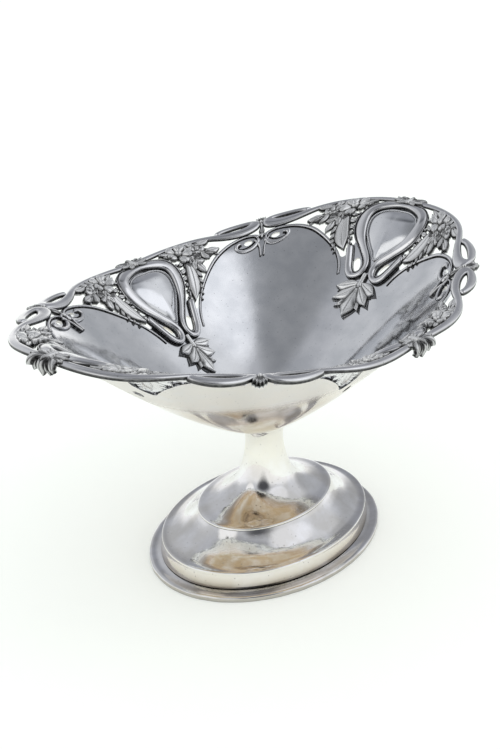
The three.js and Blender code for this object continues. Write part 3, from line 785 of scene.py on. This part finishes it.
def tallest(parts):
    """The highest part wins, and a dark crease runs where the two highest meet."""
    edge, height, dark = (np.array(values, dtype=float) for values in parts[0])
    for next_edge, next_height, next_dark in parts[1:]:
        both = (next_edge > 0) & (edge > 0)
        crease = np.where(both, np.exp(-((next_height - height) / CREASE) ** 2), 0)
        over = (next_edge > 0) & ((next_height > height) | (edge <= 0))
        under = (next_edge <= 0) & (edge <= 0) & (next_edge > edge)
        height = np.where(over | under, next_height, height) - CREASE_DEPTH * crease
        dark = np.maximum(np.where(over | under, next_dark, dark), 0.9 * crease)
        edge = np.maximum(edge, next_edge)
    return edge, height, dark


def cluster(middle, sides=(), top=0.0):
    """A shape made of parts on the middle line, and of parts that stand on both sides of it."""
    def shape(x, y):
        parts = [part(x, y - top, *sizes) for part, *sizes in middle]
        for across in (-x, x):
            parts += [part(across, y - top, *sizes) for part, *sizes in sides]
        return tallest(parts)
    return shape


print("parts of a casting: lobes, grounds, leaves, flowers, beads and stalks")

# %% [markdown]
# A relief starts as a grid over the whole pattern. The faces outside the outline are deleted, the
# vertices by the outline are drawn onto it, and one extrusion gives the back and the sides.

# %% Cast reliefs
EDGE_SLOPE, EDGE_ROUNDING, BACK_RECESS = 0.35, 0.52, 0.15


def relief(name, low, high, spacing, shape, back, hollow=0.0):
    """A cast relief between two corners. Shape gives edge, height and darkness, from oxidation in
    the hollows and painted shade; back is its lower side, and hollow is how much of the relief
    shows there."""
    columns, rows = (int(round((b - a) / spacing)) for a, b in zip(low, high))
    piece = flat_grid(name, columns, rows)
    places = lerp(np.array(low), np.array(high), grid_shares(piece))
    step = spacing * 0.2

    def edge_at(dx, dy):
        return shape(places[:, 0] + dx, places[:, 1] + dy)[0]

    edges = edge_at(0, 0)[face_corners(piece)]
    cut = (edges.max(axis=1) <= 0) | (edges.mean(axis=1) <= -0.3 * spacing)
    for _ in range(3):
        slope_x = (edge_at(step, 0) - edge_at(-step, 0)) / (2 * step)
        slope_y = (edge_at(0, step) - edge_at(0, -step)) / (2 * step)
        steep = np.maximum(slope_x ** 2 + slope_y ** 2, 0.25)
        limit = np.clip(-edge_at(0, 0) / steep, 0, spacing * 0.6)
        places += np.stack([slope_x * limit, slope_y * limit], axis=1)
    set_points(piece, np.column_stack([places, np.zeros(len(places))]))
    delete_faces(piece, cut)
    edit(piece, "FACE")
    bpy.ops.mesh.extrude_region_move(TRANSFORM_OT_translate={"value": (0, 0, MM)})
    mode("OBJECT")
    points = get_points(piece)
    top = points[:, 2] > 0.5
    edge, height, dark = shape(points[:, 0], points[:, 1])
    rim = np.clip(edge / EDGE_ROUNDING, 0, 1)
    lifted = np.maximum(height, 0.15) * lerp(EDGE_SLOPE, 1, np.sqrt(1 - (1 - rim) ** 2))
    points[:, 2] = np.where(top, lifted, back + hollow * np.maximum(0, lifted - 0.5))
    set_points(piece, points)
    set_recess(piece, np.where(top, np.clip(dark + (1 - rim) ** 1.2, 0, 1), BACK_RECESS))
    return piece


print("edges of a relief are rounded over", EDGE_ROUNDING, "mm")

# %% [markdown]
# The rim. Eight cast ribbons meet in pairs: from a knot over each cartouche they run outside the
# flowers, dip in, and curl back out in a loop beside the corner.

# %% Rim ribbons
RIBBON_LINE = [
    (0.030, -0.026), (0.10, -0.038), (0.18, -0.054), (0.26, -0.069), (0.34, -0.077), (0.43, -0.073),
    (0.52, -0.050), (0.60, -0.014), (0.68, 0.024), (0.76, 0.047), (0.85, 0.054), (0.925, 0.032),
    (0.953, -0.014), (0.92, -0.058), (0.85, -0.078), (0.77, -0.074), (0.70, -0.050),
    (0.662, -0.016),
]


def ribbon_width(t):
    return lerp(4.4 + smoothstep(t, 0.40, 0.62), 3.2, smoothstep(t, 0.82, 1))


def ribbon_height(t):
    return 1.9 + 0.3 * smoothstep(t, 0.40, 0.62)


ribbon = strip("ribbon_pattern", flat_line(RIBBON_LINE), ribbon_width, ribbon_height,
               band_section(19, 0.95), bottom=0.1, stations=170)
place_copies(ribbon, "ribbon", cast_silver, "cast_silver", "rim_ribbon", ON_HALVES)

# %% [markdown]
# The cartouche frame is one strap: a broad rounded ridge that narrows into a hairpin on both
# sides. The section has the ridge, a dark groove beside the shield, and a thin raised edge.

# %% Cartouche frames
STRAP_HALF_LINE = [
    (0.262, 0.43), (0.24, 0.495), (0.215, 0.57), (0.185, 0.64), (0.14, 0.685), (0.09, 0.685),
    (0.055, 0.65), (0.052, 0.60), (0.085, 0.54), (0.145, 0.465), (0.205, 0.37), (0.237, 0.27),
    (0.232, 0.18), (0.195, 0.11), (0.12, 0.065), (0.0, 0.055),
]
STRAP_SECTION = [
    (-1.0, 0.06, 1.0), (-0.985, 0.36, 1.0), (-0.93, 0.62, 0.7), (-0.82, 0.82, 0.15),
    (-0.64, 0.94, 0.0), (-0.42, 1.0, 0.0), (-0.18, 0.98, 0.0), (0.06, 0.91, 0.0), (0.28, 0.80, 0.0),
    (0.48, 0.66, 0.0), (0.60, 0.53, 0.6), (0.68, 0.40, 1.0), (0.76, 0.40, 1.0), (0.82, 0.54, 0.3),
    (0.88, 0.55, 0.1), (0.94, 0.40, 0.9), (1.0, 0.06, 1.0), (0.96, 0.0, 0.4), (0.5, 0.0, 0.3),
    (0.0, 0.0, 0.3), (-0.5, 0.0, 0.3), (-0.96, 0.0, 0.4),
]
HAIRPIN_WIDTH, STRAP_WIDTH = 3.7, 7.0


def strap_width(t):
    from_end = np.minimum(t, 1 - t) * 2
    swell = smoothstep(from_end, 0.48, 0.70) * (1 - smoothstep(from_end, 0.86, 1))
    return lerp(HAIRPIN_WIDTH, STRAP_WIDTH, swell)


def strap_height(t):
    return 2.0 + 0.6 * strap_width(t) / STRAP_WIDTH


half = flat_line(STRAP_HALF_LINE)
whole = half + [(-x, y) for x, y in reversed(half[:-1])]
strap = strip("strap_pattern", whole, strap_width, strap_height, STRAP_SECTION, bottom=-0.3,
              stations=420)
place_copies(strap, "strap", cast_silver, "cast_silver", "cartouche_frame", ON_QUARTERS)

# %% [markdown]
# The shield is a smooth dome that fills the frame, edged with a line of small beads. A grid is
# rolled up from its edge to its middle, as the bowl was.

# %% Shields
SHIELD_HALF_LINE = [
    (0.0, 0.118), (0.07, 0.12), (0.135, 0.145), (0.175, 0.19), (0.187, 0.25), (0.172, 0.33),
    (0.128, 0.405), (0.065, 0.485), (0.0, 0.55),
]
SHIELD_MIDDLE, SHIELD_HEIGHT, SHIELD_STEPS, SHIELD_ROWS = flat(0, 0.29), 3.1, 144, 30
DOME_SHARE, SKIRT_START, SKIRT_BOTTOM, SHIELD_EDGE_HEIGHT = 0.93, 0.95, -0.3, 0.25
SHIELD_BEADS, BEAD_RADIUS, BEAD_HEIGHT = 118, 0.52, 0.55


def shield_pattern():
    half_line = flat_line(SHIELD_HALF_LINE)
    ring = half_line + [p * (-1, 1) for p in reversed(half_line[1:-1])] + [half_line[0]]
    edge = smooth_line(ring, SHIELD_STEPS + 1)
    piece = flat_grid("shield_pattern", SHIELD_STEPS, SHIELD_ROWS)
    turn_share, size = grid_shares(piece).T
    at = np.rint(turn_share * SHIELD_STEPS).astype(int)
    out = np.minimum(size / DOME_SHARE, 1)
    places = SHIELD_MIDDLE + (edge[at] - SHIELD_MIDDLE) * out[:, None]
    rise = SHIELD_HEIGHT * (1 - out ** 2.0) ** 0.72 + SHIELD_EDGE_HEIGHT
    rise = np.where(size > SKIRT_START, SKIRT_BOTTOM, rise)
    set_points(piece, np.column_stack([places, rise]))
    set_recess(piece, np.clip((size - 0.86) / 0.07, 0, 1) * 0.9)
    merge_doubles(piece)
    edit(piece)
    bpy.ops.mesh.select_all(action="DESELECT")
    bpy.ops.mesh.select_non_manifold(extend=False)
    bpy.ops.mesh.edge_face_add()
    mode("OBJECT")
    turn_outwards(piece)
    return piece, smooth_line(ring, SHIELD_BEADS + 1)[:-1]


shield, bead_places = shield_pattern()
deselect()
bpy.ops.mesh.primitive_ico_sphere_add(subdivisions=1, radius=BEAD_RADIUS * MM)
one_bead = bpy.context.object
bead_shape = get_points(one_bead)
beads = []
for i, (x, y) in enumerate(bead_places):
    beads.append(copy_of(one_bead, f"bead_{i}"))
    set_points(beads[-1], bead_shape + (x, y, BEAD_HEIGHT))
discard(one_bead)
shield = join([shield] + beads, "shield_pattern")
place_copies(shield, "shield_dome", polished_silver, "polished_silver", "shield", ON_QUARTERS)

# %% [markdown]
# Flower sprays fill the openwork: a bud by the knot, a cupped flower, three acanthus leaves that
# run to the ribbon and the arch, and a long toothed leaf that hangs between strap and arch, with
# a row of beads beside it. The flower is sunk into a dark moat, so that it stands out.

# %% Flower sprays
FLOWER_PLACE, FLOWER_RADIUS, PETALS, MOAT_WIDTH = flat(0.345, 0.052), 7.2, 5, 0.5
SPRAY_BEADS = 7
SPRAY_STALKS = [
    ([(0.345, 0.0), (0.347, -0.05), (0.35, -0.08)], 1.6, 1.0),
    ([(0.36, 0.10), (0.345, 0.20), (0.315, 0.32), (0.272, 0.44)], 1.2, 0.9),
    ([(0.40, 0.07), (0.50, 0.10), (0.60, 0.15), (0.64, 0.18)], 1.2, 0.9),
    ([(0.245, 0.11), (0.29, 0.085)], 1.3, 0.8),
]
SPRAY_LEAVES = [
    (lobe, (0.31, 0.045), (0.205, -0.005), 3.6, 0.08, 1.4),
    (lobe, (0.30, 0.060), (0.225, 0.035), 2.6, -0.08, 1.3),
    (acanthus, (0.39, 0.045), (0.60, 0.010), 11.0, 2, -0.08),
    (acanthus, (0.43, 0.085), (0.66, 0.135), 10.0, 2, 0.06),
    (acanthus, (0.40, 0.12), (0.50, 0.285), 10.0, 2, -0.06),
    (long_leaf, (0.375, 0.11), (0.300, 0.47), 8.4, 6, -0.07),
]


def spray_shape(x, y):
    parts = [stalk(x, y, flat_line(line), *sizes) for line, *sizes in SPRAY_STALKS]
    for leaf, root, tip, *sizes in SPRAY_LEAVES:
        parts.append(leaf(x, y, flat(*root), flat(*tip), *sizes))
    for share in np.linspace(0, 1, SPRAY_BEADS):
        place = flat(lerp(0.288, 0.282, share), lerp(0.15, 0.36, share))
        parts.append(bead(x, y, place, 0.85 - 0.3 * share, 0.8))
    petals = flower(x, y, FLOWER_PLACE, FLOWER_RADIUS, PETALS, 0.3)
    edge, height, dark = tallest(parts)
    moat = np.exp(-(np.minimum(petals[0], 0) / MOAT_WIDTH) ** 2)
    return tallest([(edge, height * (1 - 0.6 * moat), np.maximum(dark, moat)), petals])


spray = relief("spray_pattern", (12.0, -30.5), (54.0, 6.0), 0.25, spray_shape, -0.9, 0.6)
place_copies(spray, "spray", leaf_silver, "cast_silver", "flower_spray", ON_HALVES)

# %% [markdown]
# The leaf drop hangs under the hairpins: seven broad pointed lobes on a black ground, the middle
# one the longest. It lies on the solid sheet, so its back is hidden.

# %% Leaf drops
DROP_TOP = flat(0, 0.735)[1]
DROP = cluster([
    (ground, (0, 1.0), (0, -16.0), 11.0),
    (stalk, [(0, 3.5), (0, -3)], 2.8, 1.9),
    (lobe, (0, -2.6), (0, -19.0), 8.6, 0, 2.2),
], [
    (ground, (0.4, -2.2), (9.4, -5.0), 8.4),
    (lobe, (0.6, -5.0), (6.6, -13.6), 5.0, 0.14, 1.7),
    (lobe, (0.6, -2.6), (9.4, -9.4), 7.0, 0.10, 2.2),
    (lobe, (0.8, -0.8), (11.0, -2.6), 6.2, 0.08, 2.0),
], DROP_TOP)
drop = relief("drop_pattern", (-11.2, DROP_TOP - 19.2), (11.2, DROP_TOP + 4.0), 0.2, DROP, -0.4)
place_copies(drop, "drop", leaf_silver, "cast_silver", "leaf_drop", ON_QUARTERS)

# %% [markdown]
# Panel scrolls arch over the four smooth panels. Each arch is a light ribbon with a dark line on
# the panel's side. Its two halves each curl into a volute, and they meet above a split spur.

# %% Panel scrolls
ARCH_LINE = [
    (0.275, 0.665), (0.305, 0.57), (0.355, 0.475), (0.43, 0.38), (0.515, 0.29), (0.60, 0.215),
    (0.69, 0.16), (0.78, 0.125), (0.87, 0.112), (0.945, 0.128), (0.966, 0.172), (0.92, 0.212),
    (0.85, 0.22), (0.797, 0.195), (0.803, 0.165), (0.835, 0.158),
]
ARCH_SECTION = [
    (-1.0, 0.06, 0.9), (-0.92, 0.45, 0.4), (-0.74, 0.78, 0.0), (-0.50, 0.95, 0.0),
    (-0.24, 1.0, 0.0), (0.02, 0.98, 0.0), (0.16, 0.92, 0.0), (0.30, 0.76, 0.3), (0.42, 0.50, 1.0),
    (0.56, 0.34, 1.0), (0.74, 0.28, 1.0), (0.90, 0.24, 1.0), (1.0, 0.06, 1.0), (0.9, 0.0, 0.6),
    (0.3, 0.0, 0.3), (-0.3, 0.0, 0.3), (-0.9, 0.0, 0.3),
]
SPUR = cluster([
    (stalk, [(0, -3.0), (0, -8.5)], 1.7, 1.3),
], [
    (stalk, [(0, -8.0), (3.0, -9.0)], 1.7, 1.2),
    (stalk, [(4.2, -10.4), (2.4, -12.2), (1.3, -14.6), (0.9, -18.4)], 1.4, 1.1),
])


def arch_width(t):
    belly = np.sin(math.pi * np.clip(t, 0, 1) ** 1.1) ** 1.5
    return 1.3 + 0.5 * belly + 1.3 * smoothstep(t, 0.70, 0.86)


def arch_height(t):
    return 0.75 + 0.35 * smoothstep(t, 0.5, 0.8)


arch = strip("arch_pattern", flat_line(ARCH_LINE), arch_width, arch_height, ARCH_SECTION,
             bottom=-0.4, stations=190)
spur = relief("spur_pattern", (-5.0, -20.0), (5.0, -2.0), 0.2, SPUR, -0.4)
for quarter, corner_name in enumerate(CORNERS):
    near, far, tongue = (copy_of(pattern, "part") for pattern in (arch, arch, spur))
    set_points(near, lay(get_points(near), quarter, 1))
    set_points(far, lay(get_points(far), (quarter + 1) % 4, -1))
    set_points(tongue, lay(get_points(tongue), quarter, 1, 1.0))
    for piece in (near, far, tongue):
        turn_outwards(piece)
    scroll = join([near, far, tongue], f"scroll_{corner_name}")
    finish(scroll, cast_silver, "cast_silver", f"panel_scroll_{corner_name}")
print("arch:", len(arch.data.polygons), "faces, spur:", len(spur.data.polygons))
discard(arch)
discard(spur)

# %% [markdown]
# A ridged shell closes each corner between the two loops.

# %% Corner shells
SHELL = cluster([
    (stalk, [(0, -9.6), (0, -4.0), (0, 2.0)], 1.9, 1.6),
    *((lobe, (i * 0.25, 0.0), (i * 1.55, 8.4 - 0.55 * i * i), 2.7, 0, 2.0, 0.45)
      for i in range(-2, 3)),
    (lobe, (0, -2.0), (0, -8.8), 3.4, 0, 1.5),
    (bead, (0, 0.4), 1.3, 2.4),
])
shell = relief("shell_pattern", (-5.0, -10.5), (5.0, 9.5), 0.2, SHELL, -0.5)
place_copies(shell, "shell", leaf_silver, "cast_silver", "corner_shell", ON_CORNERS)

# %% [markdown]
# A cluster of pointed leaves hangs over the rim at each knot. It is modelled flat, given painted
# shade where it hangs, and then bent round the edge.

# %% Knot leaves
KNOT_EDGE_SHARE, KNOT_LIFT, KNOT_BEND_RADIUS, KNOT_BEND = -0.060, 0.9, 1.6, 2.0
KNOT_SHADE = 0.40
KNOT = cluster([
    (ground, (0, -3.0), (0, 8.6), 11.0),
    (stalk, [(0, -2.0), (0, 4.0)], 2.4, 1.8),
    (lobe, (0, 1.0), (0, 10.2), 5.4, 0, 1.6),
], [
    (ground, (0.2, 1.4), (7.8, 3.0), 7.5),
    (lobe, (0.6, 2.0), (4.6, 9.0), 4.2, 0.06, 1.3),
    (lobe, (0.8, 2.2), (7.6, 7.0), 4.8, 0.06, 1.5),
    (lobe, (1.0, 1.4), (8.9, 3.2), 4.2, 0.08, 1.3),
    (lobe, (0.8, 0.2), (8.4, -0.8), 3.8, -0.06, 1.5),
    (lobe, (0.6, -0.8), (5.4, -4.0), 3.4, -0.05, 1.4),
])


def knot_shape(x, y):
    edge, height, dark = KNOT(x, y)
    return edge, height, np.clip(dark + KNOT_SHADE * smoothstep(y, 2.5, 6.0), 0, 1)


def bend_over_rim(points, quarter):
    """Lays points on the rim at a knot, and rolls what reaches past the edge down over it."""
    def lifted(down):
        angle = np.array(quarter * QUARTER_TURN)
        share = bowl_share(angle, down)
        up = bowl_normal(angle, share)
        return bowl_point(angle, share) + up * KNOT_LIFT, up
    start, _ = lifted(0.0)
    edge, up = lifted(KNOT_EDGE_SHARE)
    reach = np.linalg.norm(edge - start)
    out = (edge - start) / reach
    side = np.cross(out, up)
    x, y, z = points.T
    past = np.maximum(0, y - reach)
    turn = np.minimum(past / KNOT_BEND_RADIUS, KNOT_BEND)
    straight = past - turn * KNOT_BEND_RADIUS
    radius = KNOT_BEND_RADIUS + z
    outward = np.minimum(y, reach) + radius * np.sin(turn) + straight * np.cos(turn)
    fall = radius * np.cos(turn) - KNOT_BEND_RADIUS - straight * np.sin(turn)
    return start + outward[:, None] * out + fall[:, None] * up + x[:, None] * side


knot = relief("knot_pattern", (-9.0, -5.0), (9.0, 11.0), 0.2, knot_shape, -0.3)
over_rim = {name: partial(bend_over_rim, quarter=i) for i, name in enumerate(QUARTERS)}
place_copies(knot, "knot", leaf_silver, "cast_silver", "knot_leaf", over_rim)

# %% [markdown]
# The foot was raised on a stake, in three pieces. Each starts as a circle that is extruded ring
# by ring, which is just how its outline is read, and the last ring meets the first. The wired
# edge is the piece that the dish stands on.

# %% Foot rings
FOOT_STEPS, WAVE_TOP, EDGE_DENTS = 192, 1.95, 0.0008


def raise_rings(name, rows):
    """Rows of half length, half width and height, round the section and back to the first."""
    deselect()
    bpy.ops.mesh.primitive_circle_add(vertices=FOOT_STEPS, radius=1.0, fill_type="NOTHING")
    piece = just_added(name)
    edit(piece)
    long_now, wide_now, height_now = rows[0]
    bpy.ops.transform.resize(value=(long_now * MM, wide_now * MM, 1), center_override=(0, 0, 0))
    bpy.ops.transform.translate(value=(0, 0, height_now * MM))
    for long_next, wide_next, height_next in list(rows[1:]) + [rows[0]]:
        bpy.ops.mesh.extrude_edges_move()
        stretch = (long_next / long_now, wide_next / wide_now, 1)
        bpy.ops.transform.resize(value=stretch, center_override=(0, 0, 0))
        bpy.ops.transform.translate(value=(0, 0, (height_next - height_now) * MM))
        long_now, wide_now, height_now = long_next, wide_next, height_next
    merge_doubles(piece)
    return piece


def hand_raised(piece, amount):
    """Slow waves of a few hundredths, which keep the reflections from looking turned by machine."""
    points = get_points(piece)
    x, y, z = points.T
    turn = np.arctan2(y, x)
    wave = np.sin(3 * turn + 0.7) + 0.6 * np.sin(5 * turn + z * 0.11)
    wave += 0.35 * np.sin(11 * turn + 2.1)
    points[:, :2] *= (1 + amount * wave / WAVE_TOP / np.maximum(np.hypot(x, y), 1))[:, None]
    set_points(piece, points)


WIRE_ROWS = [
    (63.75, 48.85, 0.0), (63.9, 49.0, 0.35), (63.9, 49.0, 1.7), (63.72, 48.82, 2.15),
    (63.35, 48.45, 2.4), (62.4, 47.5, 2.5), (61.4, 46.5, 2.42), (60.2, 45.3, 2.40),
    (59.0, 44.1, 2.6), (58.2, 43.3, 2.85), (57.3, 42.4, 3.0), (57.3, 42.4, 0.0),
]
foot_wire = raise_rings("foot_edge", WIRE_ROWS)
hand_raised(foot_wire, 0.10)
points = get_points(foot_wire)
turn = np.arctan2(points[:, 1], points[:, 0])
dents = 1 + EDGE_DENTS * (np.sin(29 * turn + 1.3) + np.sin(43 * turn) * np.sin(5 * turn))
set_points(foot_wire, points * np.stack([dents, dents, np.ones_like(dents)], axis=1))
finish(foot_wire, foot_silver, "foot_silver", "foot_wire")
print("foot edge:", len(foot_wire.data.polygons), "faces")

# %% [markdown]
# The lower dome has an upright wall, a thin step and a hollow tier, and its inside follows its
# outside at the sheet's thickness.

# %% Lower dome
def between(rows, count):
    return [tuple(row) for row in smooth_line(rows, count)]


TIER_ROWS = 40
TIER = between([
    (56.4, 41.8, 10.95), (54.2, 39.9, 11.15), (51.7, 38.1, 11.7), (47.0, 34.5, 13.5),
    (42.3, 30.8, 16.7), (39.4, 28.5, 19.3), (37.6, 27.1, 21.3),
], TIER_ROWS)
DOME_OUTSIDE = [
    (58.0, 43.4, 3.35), (57.85, 43.25, 4.5), (57.3, 42.75, 7.2), (57.05, 42.45, 9.2),
    (57.2, 42.6, 9.9), (57.2, 42.6, 10.4), (57.05, 42.45, 10.75), (56.75, 42.15, 10.9),
] + TIER
DOME_INSIDE = [
    (a - SHEET_THICKNESS * s, b - SHEET_THICKNESS * s, c - SHEET_THICKNESS)
    for s, (a, b, c) in zip(np.linspace(1, 0.1, TIER_ROWS), TIER)][::-1]
DOME_NECK, DOME_FOOT = [(34.6, 24.1, 21.2), (34.6, 24.1, 20.0)], [(56.8, 42.2, 3.35)]
lower_dome = raise_rings("lower_dome", DOME_OUTSIDE + DOME_NECK + DOME_INSIDE + DOME_FOOT)
hand_raised(lower_dome, 0.12)
finish(lower_dome, foot_silver, "foot_silver", "lower_foot_dome")
print("lower dome:", len(lower_dome.data.polygons), "faces")

# %% [markdown]
# The upper foot rises from a rolled edge into a trumpet. Its top follows the bowl's underside.

# %% Upper foot and stem
STEM_TOP, SEAM_OVERLAP = 59.8, 0.1
STEM_OUTSIDE = [
    (37.3, 26.8, 21.45), (37.75, 27.25, 21.6), (37.85, 27.35, 21.95), (37.6, 27.1, 22.35),
    (37.1, 26.6, 22.65),
] + between([
    (36.4, 25.9, 22.8), (31.3, 22.5, 23.8), (25.4, 18.6, 25.7), (19.5, 14.7, 29.0),
    (15.24, 11.86, 33.1), (12.3, 9.9, 39.5), (10.57, 8.75, 45.7), (9.9, 8.3, 51.0),
    (10.0, 8.4, 54.2), (10.4, 8.7, 57.2), (11.2, 9.4, STEM_TOP),
], 60)
STEM_INSIDE = [(8.1, 6.1, STEM_TOP), (8.7, 7.1, 55.3), (8.7, 7.1, 51.0)] + between([
    (9.37, 7.55, 45.7), (11.1, 8.7, 39.5), (14.04, 10.66, 33.0), (18.3, 13.5, 28.6),
    (24.2, 17.4, 25.0), (30.1, 21.3, 22.9), (35.0, 24.6, 21.7),
], 26) + [(36.2, 25.7, 21.45)]
stem = raise_rings("foot_and_stem", STEM_OUTSIDE + STEM_INSIDE)


def fit_under_bowl(piece):
    """Follows the bowl's underside with the top of the stem."""
    points = get_points(piece)
    x, y, z = points.T
    angle = np.arctan2(y / RIM_HALF_WIDTH, x / RIM_HALF_LENGTH)
    share = np.hypot(x / RIM_HALF_LENGTH, y / RIM_HALF_WIDTH)
    under = bowl_point(angle, share) - bowl_normal(angle, share) * SHEET_THICKNESS
    raised = under[:, 2] + SEAM_OVERLAP - (STEM_TOP - z)
    points[:, 2] = np.where(z > STEM_TOP - 0.8, raised, z)
    set_points(piece, points)


fit_under_bowl(stem)
hand_raised(stem, 0.10)
finish(stem, foot_silver, "foot_silver", "upper_foot_and_stem")
print("foot and stem:", len(stem.data.polygons), "faces")

# %% [markdown]
# A pale floor that runs out to the horizon, and a soft studio. Silver shows its surroundings, so
# they matter as much as the metal: a white floor and low walls, a grey ceiling that gives the
# bowl its colour, and a few soft patches in the sky. The bright ones draw the bands on the
# panels, and the dark ones shade the ceiling. One broad lamp gives the floor its soft shadow.

# %% Floor and studio
WHITE_STUDIO, FLOOR_GLOW, LAMP_AIM_HEIGHT = "#FCFFFD", 0.27, 0.09
FLOOR_STEPS, FLOOR_RADIUS = 96, 6.0


def pale_floor():
    deselect()
    bpy.ops.mesh.primitive_circle_add(vertices=FLOOR_STEPS, radius=FLOOR_RADIUS, fill_type="NGON")
    floor = just_added("pale_floor")
    material, tree, shader = new_material("matt white paper")
    add = partial(node, tree)
    shader.inputs["Base Color"].default_value = colour("#E6E8E6")
    shader.inputs["Roughness"].default_value = 0.9
    shader.inputs["Specular IOR Level"].default_value = 0.0
    path = add("LightPath").outputs
    seen = add("Math", MAXIMUM, n0=path["Is Camera Ray"], n1=path["Is Glossy Ray"])
    seen = add("Math", MAXIMUM, n0=seen, n1=path["Is Transmission Ray"])
    glow = add("Math", MULTIPLY, n0=seen, n1=FLOOR_GLOW)
    tree.links.new(glow.outputs[0], shader.inputs["Emission Strength"])
    shader.inputs["Emission Color"].default_value = colour(WHITE_STUDIO)
    floor.data.materials.append(material)


SKY = [
    (0.0, "#FFFFFF"), (0.26, "#F8F9FA"), (0.46, "#D4D6D9"), (0.62, "#C8CACE"), (0.85, "#B2B4B9"),
    (1.0, "#A6A8AD"),
]
SKY_PATCHES = [
    ((0.75, -0.35, 0.56), "#D9DBDF", 0.85, 0.98),
    ((0.40, 0.34, 0.85), "#5E6064", 0.90, 0.97),
    ((0.62, 0.48, 0.62), "#94969C", 0.80, 0.95),
    ((-0.75, 0.05, 0.66), "#FFFFFF", 0.93, 0.97),
    ((-0.45, -0.75, 0.48), "#505155", 0.89, 0.985),
    ((-0.17, -0.12, 0.98), "#8E9094", 0.88, 0.99),
    ((0.28, -0.66, 0.70), "#F8FAFF", 0.92, 0.975),
    ((0.94, 0.06, 0.32), "#B0B2B6", 0.90, 0.985),
    ((0.15, 0.85, 0.50), "#C2C4C8", 0.84, 0.98),
]


def studio_world():
    world = bpy.data.worlds.new("studio")
    bpy.context.scene.world = world
    world.use_nodes = True
    tree = world.node_tree
    add = partial(node, tree)
    background = tree.nodes["Background"]
    direction = add("TexCoord").outputs["Generated"]
    height = add("SeparateXYZ", Vector=direction).outputs["Z"]
    sky = ramp(tree, height, SKY)
    for aim, shade, outer, inner in SKY_PATCHES:
        towards = add("VectorMath", {"operation": "DOT_PRODUCT"}, n0=direction, n1=aim)
        share = add("MapRange", {"interpolation_type": "SMOOTHSTEP"},
                    n0=towards.outputs["Value"], n1=outer, n2=inner)
        sky = add("Mix", COLOURS, n0=share, n6=sky, n7=colour(shade)).outputs[2]
    path = add("LightPath").outputs
    plain = add("Math", MAXIMUM, n0=path["Is Camera Ray"], n1=path["Is Diffuse Ray"])
    seen = add("Mix", COLOURS, n0=plain, n6=sky, n7=colour(WHITE_STUDIO)).outputs[2]
    tree.links.new(seen, background.inputs["Color"])
    background.inputs["Strength"].default_value = 1.0


def soft_light(name, place, size, power, hue):
    deselect()
    bpy.ops.object.light_add(type="AREA", location=place)
    lamp = just_added(name)
    aim = Vector((0, 0, LAMP_AIM_HEIGHT)) - Vector(place)
    lamp.rotation_euler = aim.to_track_quat("-Z", "Y").to_euler()
    lamp.data.shape = "RECTANGLE"
    lamp.data.size, lamp.data.size_y = size
    lamp.data.energy = power
    lamp.data.color = colour(hue)[:3]
    lamp.visible_glossy = False


pale_floor()
studio_world()
soft_light("broad_soft_light", (0.35, -0.78, 1.45), (0.7, 0.7), 1.6, "#FFFFFF")
bpy.context.scene.view_settings.view_transform = "Standard"
print("floor, world and one soft light")
